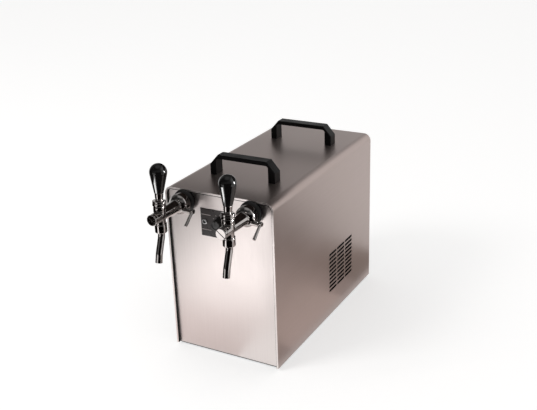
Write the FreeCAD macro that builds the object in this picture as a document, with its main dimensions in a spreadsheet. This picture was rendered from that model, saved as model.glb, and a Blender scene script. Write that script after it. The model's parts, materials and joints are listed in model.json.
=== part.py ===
import FreeCAD, Part
import math
import os
import re
import Sketcher

# A dry-cooled beer dispenser for a counter: a steel case with two taps, two bow handles
# and, inside, a chilled aluminium block, a compressor, a condenser and its fan.
# Millimetres. X to the right, Y to the back, Z up, and the feet stand on Z = 0.

doc = FreeCAD.newDocument("BeerCooler")
sheet = doc.addObject("Spreadsheet::Sheet", "Sizes")

SIZES = {
    # the case
    "case_width": 230, "case_depth": 443, "case_height": 336, "case_corner": 15,
    "case_sheet": 1, "hem_width": 3.5, "panel_recess": 6, "panel_sheet": 1.2,
    "tray_sheet": 1.5, "tray_flange": 20,
    # the air slots in the sides and the back
    "slot_length": 35.5, "slot_height": 5.6, "slot_crop": 1.6, "slot_bridge": 3.7,
    "slot_pitch": 9.06, "slot_rows": 10, "slot_columns": 3,
    "vent_from_front": 229.2, "vent_bottom": 56,
    "grille_length": 60, "grille_width": 4.6, "grille_pitch": 11, "grille_slots": 9,
    "grille_bottom": 40,
    # the feet
    "foot_radius": 11, "foot_height": 5, "foot_inset": 24, "foot_taper": 1.5,
    "foot_stem": 4, "foot_barb": 1.4, "foot_barb_height": 3,
    # the bow handles
    "bow_length": 141, "bow_height": 40, "bow_depth": 23, "bow_leg": 14, "bow_bar": 7.5,
    "bow_slope_run": 17.7, "bow_slope_rise": 20, "bow_inner_round": 5, "bow_edge": 2,
    "front_bow_from_front": 101.5, "rear_bow_from_front": 346,
    "bow_screw": 2.5, "bow_screw_head": 4.5, "bow_screw_head_height": 3, "bow_screw_grip": 14,
    # the control plate, its knob and its lamp
    "plate_width": 60, "plate_from_centre": 41.5, "plate_height": 55,
    "plate_below_knob": 32, "plate_thick": 1,
    "knob_radius": 10, "knob_length": 17, "knob_skirt": 11.5, "knob_skirt_length": 3,
    "knob_height": 279, "knob_gap": 0.5, "knob_dish": 1, "knob_rim": 1.6,
    "pointer_width": 1.6, "pointer_depth": 0.6,
    "spindle_radius": 3, "spindle_length": 16, "thermostat_width": 36,
    "thermostat_height": 30, "thermostat_depth": 24, "thermostat_neck": 5,
    "lamp_from_centre": 33, "lamp_below_knob": 3, "lamp_radius": 5.5, "lamp_barrel": 4.4,
    "lamp_bore": 3.4, "lamp_stand": 2.4, "lamp_length": 12, "lamp_lens_depth": 1.2,
    "lamp_lens_length": 5,
    # what both taps share, from the face of the front panel outwards
    "tap_inset": 44, "tap_height": 313,
    "rosette_radius": 22.5, "rosette_thick": 14, "rosette_edge": 3, "rosette_back": 19,
    "shank_radius": 10.5, "shank_inside": 38, "shank_seat": 3, "shank_tail": 7,
    "shank_tail_length": 12, "back_nut_flats": 30, "back_nut_thick": 8,
    "housing_radius": 19.5, "housing_length": 22, "housing_taper": 5,
    "throat_radius": 8, "feed_radius": 5.5,
    "barrel_radius": 13, "barrel_waist": 11, "barrel_taper_length": 37, "throat_run_on": 5,
    "chest_radius": 10.5, "body_length": 68, "valve_from_panel": 85.5,
    "valve_radius": 7, "valve_length": 42, "neck_radius": 11, "neck_height": 9,
    "plug_radius": 10.5, "plug_length": 7, "plug_spigot": 3, "plug_slot": 1.6,
    "plug_slot_depth": 1.2, "plug_slot_turn": 38, "plug_edge": 1.2,
    "spout_boss_radius": 10, "spout_boss_drop": 14, "spout_nut_radius": 11.3,
    "spout_nut_length": 17.5, "spout_radius": 6.5, "spout_bore": 5,
    "spout_flange": 8.5, "spout_flange_thick": 4, "spout_straight": 1, "spout_bend": 30,
    "spout_lean": 20, "spout_tip_lean": 12, "spout_upper": 26, "spout_tip": 15,
    # the tap lever, which turns on a ball in the bonnet
    "pivot_rise": 15, "bonnet_radius": 11.35, "ball_radius": 8, "ball_gap": 0.3,
    "bonnet_mouth": 6.5, "bonnet_flare": 8, "stem_radius": 3.5, "arm_length": 15,
    "arm_radius": 2, "arm_ball": 3, "cap_radius": 12.5, "cap_rise": 5, "cap_height": 9,
    "lever_lean": 4.7, "cap_edge": 1, "ferrule_length": 14, "ferrule_base": 7,
    "ferrule_top": 8, "stud_radius": 3, "stud_length": 26, "handle_radius": 16,
    "handle_length": 54, "handle_flank": 11.6,
    # the shuttle valve that the lever pushes
    "shuttle_length": 26, "shuttle_front_gap": 5, "shuttle_edge": 1.5, "arm_gap": 0.4,
    "arm_flare": 5.6, "arm_under": 0.8, "running_gap": 0.08, "loose_gap": 0.3,
    # the flow lever and the cone that it moves
    "flow_from_panel": 29, "flow_drop": 8, "flow_shaft": 3, "flow_inner": 6.5,
    "flow_boss_radius": 5, "flow_boss_reach": 27, "flow_knuckle": 4.5,
    "flow_knuckle_length": 7, "flow_rod": 2.6, "flow_rod_length": 32, "flow_rod_angle": 39,
    "flow_rod_end": 0.5, "flow_rod_edge": 1.5, "crank_throw": 3, "crank_pin": 1.2,
    "crank_set": 45, "crank_reach": 8, "crank_gap": 0.35,
    "flow_cone_back": 9, "flow_cone_land": 4, "flow_cone_length": 6, "flow_cone_tip": 3.5,
    # the chilled block and its lines
    "block_depth": 86, "block_clearance": 22.5, "jacket_wall": 25, "jacket_gap": 7,
    "jacket_from_panel": 9, "line_radius": 4, "line_bend": 26, "line_seat": 8,
    "outlet_line_from_panel": 84, "inlet_line_from_panel": 110, "line_spacing": 70,
    # the beer inlets in the back
    "inlet_below_top": 46, "inlet_length": 26, "inlet_collar": 10.5, "inlet_collar_thick": 5,
    "inlet_sleeve": 8.5, "inlet_collet": 6.4, "inlet_collet_length": 3, "inlet_barrel": 8,
    "inlet_barrel_length": 16, "tube_radius": 4.85, "tube_depth": 18, "inlet_throat": 3,
    "inlet_nut_flats": 22, "inlet_nut_thick": 5,
    # the mains inlet and the switch in the back
    "socket_inset": 45, "socket_height": 225, "socket_width": 27, "socket_tall": 20,
    "socket_flange": 2, "socket_flange_thick": 3, "socket_wall": 1.5, "socket_depth": 17,
    "socket_back": 3, "socket_corner": 4, "pin_width": 2, "pin_tall": 5.5,
    "pin_length": 12, "pin_spread": 7, "pin_step": 3,
    "switch_step": 34, "switch_width": 13, "switch_tall": 19, "switch_flange": 1.2,
    "switch_flange_thick": 2, "switch_depth": 16, "switch_wall": 1, "switch_well": 10,
    "rocker_pivot": 4, "rocker_half": 8.1, "rocker_tilt": 11, "rocker_crown": 3.6,
    "rocker_end_angle": 35, "rocker_back": 3, "rocker_gap": 0.3, "rocker_pin": 1.2,
    "rocker_pin_reach": 0.8,
    # the compressor
    "can_radius": 54, "can_height": 142, "can_seam": 3, "can_seam_height": 64,
    "can_seam_thick": 4, "can_round": 22, "can_from_front": 350, "can_inset": 68,
    "sole_width": 104, "sole_length": 132, "sole_thick": 3, "grommet_radius": 9,
    "grommet_height": 12, "grommet_inset": 11, "relay_width": 46, "relay_height": 44,
    "relay_depth": 20, "relay_lift": 12,
    # the condenser and its fan
    "coil_thick": 32, "coil_length": 126, "coil_height": 140, "coil_gap": 10,
    "fin_pitch": 9, "fin_groove": 5, "fin_depth": 9, "fin_count": 13, "fin_margin": 6,
    "shroud_thick": 3, "shroud_ring": 2, "shroud_depth": 12, "fan_opening": 55,
    "fan_hub": 15, "fan_width": 12, "fan_gap": 2, "blade_count": 5, "blade_thick": 2,
    "blade_start": 12, "blade_end": 48, "blade_root_chord": 14, "blade_tip_chord": 30,
    "blade_root_pitch": 35, "blade_tip_pitch": 18, "bracket_width": 14,
    "bracket_sheet": 2, "bracket_reach": 19, "bracket_half": 66, "motor_radius": 22,
    "motor_length": 30, "motor_shaft": 2.5, "motor_shaft_length": 16, "shaft_fit": 0.05,
    # the pipes of the cooling circuit
    "pipe_radius": 3, "pipe_bend": 12, "drier_radius": 9, "drier_length": 70,
    "drier_neck": 4.5, "drier_neck_length": 6, "drier_height": 105, "drier_ahead": 19,
    "liquid_inset": 4, "liquid_low": 35, "liquid_high": 257, "liquid_from_panel": 112,
    "discharge_x": 20, "discharge_ahead": 12, "discharge_rise": 14.5,
    "suction_inset": 22, "suction_from_panel": 70, "suction_high": 265, "suction_behind": 10,
    # the screws in the back
    "screw_radius": 1.9, "screw_head": 4, "screw_head_height": 2, "screw_length": 8,
    "screw_spacing": 80, "hole_gap": 0.3,
}

# places that several pieces share, worked out from the sizes above
PLACES = {
    "housing_front": "rosette_thick + housing_length",
    "plug_seat": "housing_front + body_length",
    "tap_reach": "plug_seat + plug_length - panel_recess",
    "rear_reach": "inlet_length - panel_recess",
    "front_y": "(tap_reach - case_depth - rear_reach) / 2",
    "rear_y": "front_y + case_depth",
    "panel_y": "front_y + panel_recess",
    "back_y": "rear_y - panel_recess",
    "top_z": "foot_height + case_height",
    "inside_z": "foot_height + tray_sheet",
    "inner_half": "case_width / 2 - case_sheet",
    "tap_x": "case_width / 2 - tap_inset",
    "tap_spacing": "2 * tap_x",
    "tap_z": "foot_height + tap_height",
    "front_bow_y": "front_y + front_bow_from_front",
    "rear_bow_y": "front_y + rear_bow_from_front",
    "bow_foot_x": "(bow_length - bow_leg) / 2",
    "under_top_z": "top_z - case_sheet",
    "knob_z": "foot_height + knob_height",
    "plate_bottom": "knob_height - plate_below_knob",
    "lamp_height": "knob_height - lamp_below_knob",
    "lamp_z": "foot_height + lamp_height",
    "valve_y": "panel_y - valve_from_panel",
    "pivot_z": "tap_z + pivot_rise",
    "bonnet_base": "neck_height - pivot_rise",
    "cap_top": "cap_rise + cap_height",
    "cap_hollow": "bonnet_radius + ball_gap",
    "seat_radius": "ball_radius + ball_gap",
    "shuttle_radius": "valve_radius - running_gap",
    "shuttle_back": "plug_seat - plug_spigot - shuttle_front_gap - shuttle_length",
    "flow_y": "panel_y - flow_from_panel",
    "flow_z": "tap_z - flow_drop",
    "inlet_height": "case_height - inlet_below_top",
    "inlet_z": "foot_height + inlet_height",
    "block_half": "inner_half - jacket_gap - jacket_wall",
    "block_top_z": "min(knob_z - thermostat_height / 2; inlet_z - line_bend) - block_clearance",
    "block_height": "block_top_z - inside_z - jacket_wall",
    "suction_x": "suction_inset - block_half",
    "socket_x": "socket_inset - case_width / 2",
    "switch_x": "socket_x + switch_step",
    "can_x": "can_inset - inner_half",
    "can_y": "front_y + can_from_front",
    "can_z": "inside_z + grommet_height + sole_thick",
    "can_top_z": "can_z + can_height",
    "vent_length": "slot_columns * (slot_length + slot_bridge) - slot_bridge",
    "coil_y": "front_y + vent_from_front + vent_length / 2",
    "coil_x": "inner_half - coil_gap - coil_thick",
    "liquid_x": "coil_x + liquid_inset",
    "coil_front_y": "coil_y - coil_length / 2",
    "coil_top_z": "inside_z + coil_height",
    "fan_x": "coil_x - fan_gap - fan_width / 2",
    "fan_z": "inside_z + coil_height / 2",
    "shroud_back_x": "coil_x - shroud_thick",
    "bracket_x": "shroud_back_x - bracket_reach",
    "screw_z": "foot_height + tray_flange / 2",
    "jacket_y": "panel_y + jacket_from_panel",
    "socket_z": "foot_height + socket_height",
    "drier_y": "coil_front_y - drier_ahead",
    "drier_z": "foot_height + drier_height",
}


def fill_sheet():
    rows = [(name, str(value)) for name, value in SIZES.items()]
    rows += [(name, "=" + formula) for name, formula in PLACES.items()]
    for row, (name, content) in enumerate(rows, start=1):
        sheet.set(f"B{row}", content)
        sheet.setAlias(f"B{row}", name)
        sheet.set(f"A{row}", name.replace("_", " "))
    doc.recompute()


fill_sheet()
NAMES = re.compile(r"\b(" + "|".join(list(SIZES) + list(PLACES)) + r")\b")
PARTS = []


# An expression names the cells by their plain names, and this adds the sheet's.
def tied(text):
    return NAMES.sub(r"Sizes.\1", str(text))


def value(text):
    return float(sheet.evalExpression(tied(text)))


def tie(thing, prop, text):
    if NAMES.search(str(text)):
        thing.setExpression(prop, tied(text))
    else:
        thing.setExpression(prop, str(text))


# A new body in its place, turned about X where a lean is given.
def new_body(label, x="0", y="0", z="0", lean=None):
    body = doc.addObject("PartDesign::Body", label)
    body.Label = label
    if lean is not None:
        turn = FreeCAD.Rotation(FreeCAD.Vector(1, 0, 0), 1)
        body.Placement = FreeCAD.Placement(FreeCAD.Vector(), turn)
        tie(body, "Placement.Rotation.Angle", lean)
    for axis, text in zip("xyz", (x, y, z)):
        tie(body, f"Placement.Base.{axis}", text)
    PARTS.append(body)
    return body


def origin_feature(body, role):
    return next(f for f in body.Origin.OriginFeatures if f.Role == role)


# The planes' normals: XY up, XZ to the front and YZ to the right.
def new_sketch(body, plane, offset="0"):
    sketch = body.newObject("Sketcher::SketchObject", "Sketch")
    sketch.AttachmentSupport = (origin_feature(body, plane + "_Plane"), [""])
    sketch.MapMode = "FlatFace"
    tie(sketch, "AttachmentOffset.Base.z", offset)
    return sketch


# An arc to the next corner turns left or right at a given radius.
def left(radius):
    return ("left", radius)


def right(radius):
    return ("right", radius)


def bend_between(start, end, turn, radius):
    chord = end - start
    middle = (start + end) / 2
    side = FreeCAD.Vector(-chord.y, chord.x, 0) / chord.Length
    height = math.sqrt(max(radius**2 - chord.Length**2 / 4, 0))
    centre = middle + side * (height if turn == "left" else -height)
    first, last = (start, end) if turn == "left" else (end, start)
    angles = [math.atan2(p.y - centre.y, p.x - centre.x) for p in (first, last)]
    circle = Part.Circle(centre, FreeCAD.Vector(0, 0, 1), radius)
    return Part.ArcOfCircle(circle, angles[0], angles[1])


# Lines and arcs through corners that are each tied to the sheet.
def draw(sketch, route, closed=True):
    corners = []
    joins = []
    for step in route:
        if step[0] in ("left", "right"):
            joins[-1] = step
        else:
            corners.append(step)
            joins.append(None)
    points = [FreeCAD.Vector(value(x), value(y), 0) for x, y in corners]
    count = len(corners) if closed else len(corners) - 1
    ends = []
    for n in range(count):
        start, end = points[n], points[(n + 1) % len(points)]
        if joins[n] is None:
            edge = sketch.addGeometry(Part.LineSegment(start, end), False)
            ends.append((edge, 1, 2))
        else:
            turn, radius = joins[n]
            arc = bend_between(start, end, turn, value(radius))
            edge = sketch.addGeometry(arc, False)
            ends.append((edge, 1, 2) if turn == "left" else (edge, 2, 1))
            rule = sketch.addConstraint(Sketcher.Constraint("Radius", edge, value(radius)))
            tie(sketch, f"Constraints[{rule}]", radius)
    for n, (x, y) in enumerate(corners):
        last_one = not closed and n == len(corners) - 1
        edge, first, last = ends[n - 1] if last_one else ends[n]
        end = last if last_one else first
        if n or closed:
            before, _, finish = ends[n - 1]
            if not last_one:
                sketch.addConstraint(Sketcher.Constraint("Coincident", before, finish, edge, end))
        for kind, text, at in (("DistanceX", x, points[n].x), ("DistanceY", y, points[n].y)):
            rule = sketch.addConstraint(Sketcher.Constraint(kind, -1, 1, edge, end, at))
            tie(sketch, f"Constraints[{rule}]", text)
    return sketch


def draw_circles(sketch, circles):
    for x, y, radius in circles:
        centre = FreeCAD.Vector(value(x), value(y), 0)
        ring = Part.Circle(centre, FreeCAD.Vector(0, 0, 1), value(radius))
        edge = sketch.addGeometry(ring, False)
        for kind, text, at in (("DistanceX", x, centre.x), ("DistanceY", y, centre.y)):
            rule = sketch.addConstraint(Sketcher.Constraint(kind, -1, 1, edge, 3, at))
            tie(sketch, f"Constraints[{rule}]", text)
        rule = sketch.addConstraint(Sketcher.Constraint("Radius", edge, value(radius)))
        tie(sketch, f"Constraints[{rule}]", radius)
    return sketch


def box_corners(left_x, right_x, low, high):
    return [(left_x, low), (right_x, low), (right_x, high), (left_x, high)]


def centred_box(width, height, x="0", y="0"):
    return box_corners(f"{x} - ({width}) / 2", f"{x} + ({width}) / 2",
                       f"{y} - ({height}) / 2", f"{y} + ({height}) / 2")


# An outline with round upper corners, from its left foot over the top to its right foot.
def arch(half, top, radius, foot="0"):
    return [(f"-({half})", foot), (f"-({half})", f"{top} - ({radius})"), right(radius),
            (f"-({half}) + {radius}", top), (f"{half} - ({radius})", top), right(radius),
            (half, f"{top} - ({radius})"), (half, foot)]


def arch_back(half, top, radius, foot="0"):
    return [(half, foot), (half, f"{top} - ({radius})"), left(radius),
            (f"{half} - ({radius})", top), (f"-({half}) + {radius}", top), left(radius),
            (f"-({half})", f"{top} - ({radius})"), (f"-({half})", foot)]


# Pads go along the plane's normal, and pockets against it, unless they are reversed.
def extrude(body, kind, sketch, length, reverse=False, both=False):
    made = body.newObject("PartDesign::" + kind, kind)
    made.Profile = (sketch, [""])
    tie(made, "Length", length)
    made.Reversed = reverse
    if both:
        made.SideType = "Symmetric"
    sketch.Visibility = False
    doc.recompute()
    return made


def pad(body, sketch, length, reverse=False, both=False):
    return extrude(body, "Pad", sketch, length, reverse, both)


# A pocket that removes nothing is a fault, so the volume is compared.
def pocket(body, sketch, length, reverse=False, both=False):
    before = body.Shape.Volume
    made = extrude(body, "Pocket", sketch, length, reverse, both)
    if not made.Shape.Volume < before:
        raise RuntimeError(f"a pocket in {body.Label} cuts nothing")
    return made


def turned(body, plane, axis, route, offset="0", kind="Revolution"):
    sketch = draw(new_sketch(body, plane, offset), route)
    before = body.Shape.Volume if kind == "Groove" else 0
    made = body.newObject("PartDesign::" + kind, kind)
    made.Profile = (sketch, [""])
    made.ReferenceAxis = (sketch, [axis])
    made.Angle = 360
    doc.recompute()
    if kind == "Groove" and not made.Shape.Volume < before:
        raise RuntimeError(f"a groove in {body.Label} cuts nothing")
    return made


# A piece turned about the vertical axis, from (radius, height) corners.
def turned_upright(body, route, offset="0", kind="Revolution"):
    return turned(body, "XZ", "V_Axis", route, offset, kind)


# A piece turned about Y, from corners that stand so far ahead of the body's origin.
def turned_ahead(body, route, offset="0", kind="Revolution"):
    flipped = [step if step[0] in ("left", "right") else (f"-({step[0]})", step[1])
               for step in route]
    return turned(body, "YZ", "H_Axis", flipped, offset, kind)


def turned_across(body, route, offset="0"):
    return turned(body, "XZ", "H_Axis", route, offset)


def repeat(body, feature, direction, count, pitch, second=None):
    made = body.newObject("PartDesign::LinearPattern", "Pattern")
    made.Originals = [feature]
    made.Mode = "Spacing"
    made.Direction = (origin_feature(body, direction + "_Axis"), [""])
    tie(made, "Offset", pitch)
    tie(made, "Occurrences", count)
    if second:
        direction, count, pitch = second
        made.Mode2 = "Spacing"
        made.Direction2 = (origin_feature(body, direction + "_Axis"), [""])
        made.Occurrences2 = round(value(count))
        made.Spacings2 = [-1] * (made.Occurrences2 - 1)
        tie(made, "Offset2", pitch)
        tie(made, "Occurrences2", count)
    body.Tip = made
    doc.recompute()
    return made


def around(body, feature, axis, count):
    made = body.newObject("PartDesign::PolarPattern", "Ring")
    made.Originals = [feature]
    made.Axis = (origin_feature(body, axis + "_Axis"), [""])
    made.Angle = 360
    tie(made, "Occurrences", count)
    body.Tip = made
    doc.recompute()
    return made


# A tube or rod of one or two circles that follows a path in one plane.
def piped(body, path, rings, plane="XY", offset="0"):
    profile = draw_circles(new_sketch(body, plane, offset), rings)
    made = body.newObject("PartDesign::AdditivePipe", "Pipe")
    made.Profile = (profile, [""])
    made.Spine = (path, [""])
    doc.recompute()
    return made


def hexagon(flats):
    corner = f"{flats} / sqrt(3)"
    return [(f"{corner} * cos({60 * n})", f"{corner} * sin({60 * n})") for n in range(6)]


# The case: one sheet bent over the top and both sides, with a folded rim at each end.
def make_cover():
    body = new_body("cover", y="rear_y", z="foot_height")
    bend = "(case_corner - case_sheet)"
    inner_top = "(case_height - case_sheet)"
    sheet_outline = arch("case_width / 2", "case_height", "case_corner")
    sheet_outline += arch_back("inner_half", inner_top, bend)
    pad(body, draw(new_sketch(body, "XZ"), sheet_outline), "case_depth")
    rim_half = "(case_width / 2 - hem_width)"
    rim_outline = arch("inner_half", inner_top, bend)
    rim_outline += arch_back(rim_half, "(case_height - hem_width)", "(case_corner - hem_width)")
    for offset in ("0", "case_depth - panel_recess"):
        pad(body, draw(new_sketch(body, "XZ", offset), rim_outline), "panel_recess")
    slot_y = "(vent_from_front - case_depth)"
    slot_end = f"({slot_y} + slot_length)"
    low = "(vent_bottom - slot_height / 2)"
    high = "(vent_bottom + slot_height / 2)"
    slot = [(f"{slot_y} + slot_crop", low), (f"{slot_end} - slot_crop", low),
            (slot_end, f"{low} + slot_crop"), (slot_end, f"{high} - slot_crop"),
            (f"{slot_end} - slot_crop", high), (f"{slot_y} + slot_crop", high),
            (slot_y, f"{high} - slot_crop"), (slot_y, f"{low} + slot_crop")]
    first = pocket(body, draw(new_sketch(body, "YZ"), slot), "case_width + 2", both=True)
    repeat(body, first, "Y", "slot_columns", "slot_length + slot_bridge",
           ("Z", "slot_rows", "slot_pitch"))
    holes = [(f"{side}bow_foot_x", f"{bow} - rear_y", "bow_screw + hole_gap")
             for side in ("-", "") for bow in ("front_bow_y", "rear_bow_y")]
    top = draw_circles(new_sketch(body, "XY", "case_height + 1"), holes)
    pocket(body, top, "case_sheet + 2")


# The front panel sits behind the cover's folded rim.
def make_front_panel():
    body = new_body("front_panel", y="panel_y + panel_sheet", z="foot_height")
    outline = arch("inner_half", "(case_height - case_sheet)", "(case_corner - case_sheet)")
    pad(body, draw(new_sketch(body, "XZ"), outline), "panel_sheet")
    holes = [("-tap_x", "tap_height", "shank_radius + hole_gap"),
             ("tap_x", "tap_height", "shank_radius + hole_gap"),
             ("0", "knob_height", "thermostat_neck + hole_gap"),
             ("-lamp_from_centre", "lamp_height", "lamp_barrel + hole_gap")]
    pocket(body, draw_circles(new_sketch(body, "XZ"), holes), "panel_sheet + 1", reverse=True)


# The rear panel has a grille and the holes of the inlets, the switch and three screws.
def make_rear_panel():
    body = new_body("rear_panel", y="back_y", z="foot_height")
    outline = arch("inner_half", "(case_height - case_sheet)", "(case_corner - case_sheet)")
    pad(body, draw(new_sketch(body, "XZ"), outline), "panel_sheet")
    holes = [("-line_spacing / 2", "inlet_height", "inlet_barrel + hole_gap"),
             ("line_spacing / 2", "inlet_height", "inlet_barrel + hole_gap")]
    holes += [(f"{n} * screw_spacing", "tray_flange / 2", "screw_radius + hole_gap")
              for n in (-1, 0, 1)]
    pocket(body, draw_circles(new_sketch(body, "XZ"), holes), "panel_sheet + 1", reverse=True)
    gap = "2 * hole_gap"
    for width, height, x in (("socket_width", "socket_tall", "socket_x"),
                             ("switch_width", "switch_tall", "switch_x")):
        opening = centred_box(f"{width} + {gap}", f"{height} + {gap}", x, "socket_height")
        pocket(body, draw(new_sketch(body, "XZ"), opening), "panel_sheet + 1", reverse=True)
    first_x = "(-(grille_slots - 1) * grille_pitch / 2)"
    slot = box_corners(f"{first_x} - grille_width / 2", f"{first_x} + grille_width / 2",
                       "grille_bottom", "grille_bottom + grille_length")
    first = pocket(body, draw(new_sketch(body, "XZ"), slot), "panel_sheet + 1", reverse=True)
    repeat(body, first, "X", "grille_slots", "grille_pitch")


# The tray is a floor with four walls turned up, and it carries all that is inside.
def make_tray():
    body = new_body("base_tray", z="foot_height")
    front = "(panel_y + panel_sheet)"
    back = "(back_y - panel_sheet)"
    outside = box_corners("-inner_half", "inner_half", front, back)
    pad(body, draw(new_sketch(body, "XY"), outside), "tray_flange")
    inside = box_corners("-inner_half + tray_sheet", "inner_half - tray_sheet",
                         f"{front} + tray_sheet", f"{back} - tray_sheet")
    pocket(body, draw(new_sketch(body, "XY", "tray_flange"), inside), "tray_flange - tray_sheet")
    feet = [(f"{side}(case_width / 2 - foot_inset)", place, "foot_stem + running_gap")
            for side in ("-", "") for place in ("front_y + foot_inset", "rear_y - foot_inset")]
    pocket(body, draw_circles(new_sketch(body, "XY", "tray_sheet"), feet), "tray_sheet + 1")
    screws = [(f"{n} * screw_spacing", "tray_flange / 2", "screw_radius + running_gap")
              for n in (-1, 0, 1)]
    drilled = draw_circles(new_sketch(body, "XZ", f"-({back})"), screws)
    pocket(body, drilled, "tray_sheet + 1", reverse=True)


# Four rubber feet, each held in the tray by a barbed stem.
def make_feet():
    body = new_body("rubber_feet", x="foot_inset - case_width / 2", y="front_y + foot_inset")
    hole_top = "(foot_height + tray_sheet)"
    foot = turned_upright(body, [
        ("0", "0"), ("foot_radius", "0"), ("foot_radius - foot_taper", "foot_height"),
        ("foot_stem", "foot_height"), ("foot_stem", hole_top),
        ("foot_stem + foot_barb", hole_top), ("foot_stem", f"{hole_top} + foot_barb_height"),
        ("0", f"{hole_top} + foot_barb_height")])
    repeat(body, foot, "X", 2, "case_width - 2 * foot_inset",
           ("Y", 2, "case_depth - 2 * foot_inset"))


# A bow handle stands across the top, with sloping shoulders and blind screw holes.
def make_bow(label, place):
    body = new_body(label, y=place, z="top_z")
    half = "bow_length / 2"
    leg = "(bow_length / 2 - bow_leg)"
    under = "(bow_height - bow_bar)"
    shoulder = f"({half} - bow_slope_run)"
    low = "(bow_height - bow_slope_rise)"
    outline = [(f"-{half}", "0"), (f"-{half}", low), (f"-{shoulder}", "bow_height"),
               (shoulder, "bow_height"), (half, low), (half, "0"), (leg, "0"),
               (leg, f"{under} - bow_inner_round"), left("bow_inner_round"),
               (f"{leg} - bow_inner_round", under), (f"-{leg} + bow_inner_round", under),
               left("bow_inner_round"), (f"-{leg}", f"{under} - bow_inner_round"),
               (f"-{leg}", "0")]
    bar = pad(body, draw(new_sketch(body, "XZ"), outline), "bow_depth", both=True)
    half_depth = value("bow_depth / 2")
    rims = []
    for n, edge in enumerate(bar.Shape.Edges, start=1):
        middle = edge.valueAt((edge.FirstParameter + edge.LastParameter) / 2)
        on_face = abs(abs(middle.y) - half_depth) < 0.01 and edge.BoundBox.YLength < 0.01
        inner = abs(middle.x) < value(leg) + 0.01 and middle.z < value(under) + 0.01
        if on_face and middle.z > 0.01 and not inner:
            rims.append(f"Edge{n}")
    eased = body.newObject("PartDesign::Fillet", "Eased")
    eased.Base = (bar, rims)
    tie(eased, "Radius", "bow_edge")
    doc.recompute()
    holes = [(f"{side}bow_foot_x", "0", "bow_screw + running_gap") for side in ("-", "")]
    drilled = draw_circles(new_sketch(body, "XY"), holes)
    pocket(body, drilled, "bow_screw_grip", reverse=True)


# Four screws come up through the cover into the bow handles.
def make_bow_screws():
    body = new_body("bow_handle_screws", x="-bow_foot_x", y="front_bow_y", z="under_top_z")
    tip = "case_sheet + bow_screw_grip"
    screw = turned_upright(body, [
        ("0", "-bow_screw_head_height"), ("bow_screw_head", "-bow_screw_head_height"),
        ("bow_screw_head", "0"), ("bow_screw", "0"), ("bow_screw", tip), ("0", tip)])
    repeat(body, screw, "X", 2, "2 * bow_foot_x", ("Y", 2, "rear_bow_y - front_bow_y"))


# The control plate lies on the front panel around the knob and the lamp.
def make_control_plate():
    body = new_body("control_plate", y="panel_y", z="foot_height")
    outline = box_corners("-plate_from_centre", "plate_width - plate_from_centre",
                          "plate_bottom", "plate_bottom + plate_height")
    pad(body, draw(new_sketch(body, "XZ"), outline), "plate_thick")
    holes = [("0", "knob_height", "thermostat_neck + hole_gap"),
             ("-lamp_from_centre", "lamp_height", "lamp_barrel + hole_gap")]
    pocket(body, draw_circles(new_sketch(body, "XZ"), holes), "plate_thick + 1", reverse=True)


# The knob and its spindle turn in the thermostat's neck.
def make_thermostat():
    knob = new_body("thermostat_knob", y="panel_y", z="knob_z")
    back = "(plate_thick + knob_gap)"
    front = f"({back} + knob_length)"
    tail = f"{back} - spindle_length"
    turned_ahead(knob, [
        (tail, "0"), (tail, "spindle_radius"), (back, "spindle_radius"),
        (back, "knob_skirt"), (f"{back} + knob_skirt_length", "knob_skirt"),
        (f"{back} + knob_skirt_length", "knob_radius"), (front, "knob_radius - knob_dish"),
        (front, "knob_radius - knob_dish - knob_rim"),
        (f"{front} - knob_dish", "knob_radius - 2 * knob_dish - knob_rim"),
        (f"{front} - knob_dish", "0")])
    mark = box_corners("-pointer_width / 2", "pointer_width / 2", "0", "knob_radius + 1")
    cut = draw(new_sketch(knob, "XZ", front), mark)
    pocket(knob, cut, "knob_dish + pointer_depth")
    box = new_body("thermostat", y="panel_y + panel_sheet", z="knob_z")
    outline = centred_box("thermostat_width", "thermostat_height")
    pad(box, draw(new_sketch(box, "XZ"), outline), "thermostat_depth", reverse=True)
    neck = draw_circles(new_sketch(box, "XZ"), [("0", "0", "thermostat_neck")])
    pad(box, neck, "panel_sheet + plate_thick")
    face = "panel_sheet + plate_thick"
    bore = [("0", "0", "spindle_radius + shaft_fit")]
    drilled = draw_circles(new_sketch(box, "XZ", face), bore)
    pocket(box, drilled, "spindle_length + 1")


# The pilot lamp is a bright ring in the plate with a dark lens set back in it.
def make_lamp():
    bezel = new_body("pilot_lamp_bezel", x="-lamp_from_centre", y="panel_y", z="lamp_z")
    front = "(plate_thick + lamp_stand)"
    floor = f"({front} - lamp_lens_depth - lamp_lens_length)"
    turned_ahead(bezel, [
        (f"{front} - lamp_length", "0"), (f"{front} - lamp_length", "lamp_barrel"),
        ("plate_thick", "lamp_barrel"), ("plate_thick", "lamp_radius"),
        (f"{front} - lamp_stand / 2", "lamp_radius"), (front, "(lamp_radius + lamp_bore) / 2"),
        (front, "lamp_bore"), (floor, "lamp_bore"), (floor, "0")])
    lens = new_body("pilot_lamp_lens", x="-lamp_from_centre", y="panel_y", z="lamp_z")
    face = f"{front} - lamp_lens_depth"
    edge = "(lamp_bore - shaft_fit)"
    turned_ahead(lens, [(floor, "0"), (floor, edge), (f"{face} - lamp_lens_depth", edge),
                        (face, f"{edge} - lamp_lens_depth"), (face, "0")])


make_cover()
make_front_panel()
make_rear_panel()
make_tray()
make_feet()
make_bow("front_bow_handle", "front_bow_y")
make_bow("rear_bow_handle", "rear_bow_y")
make_bow_screws()
make_control_plate()
make_thermostat()
make_lamp()


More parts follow.
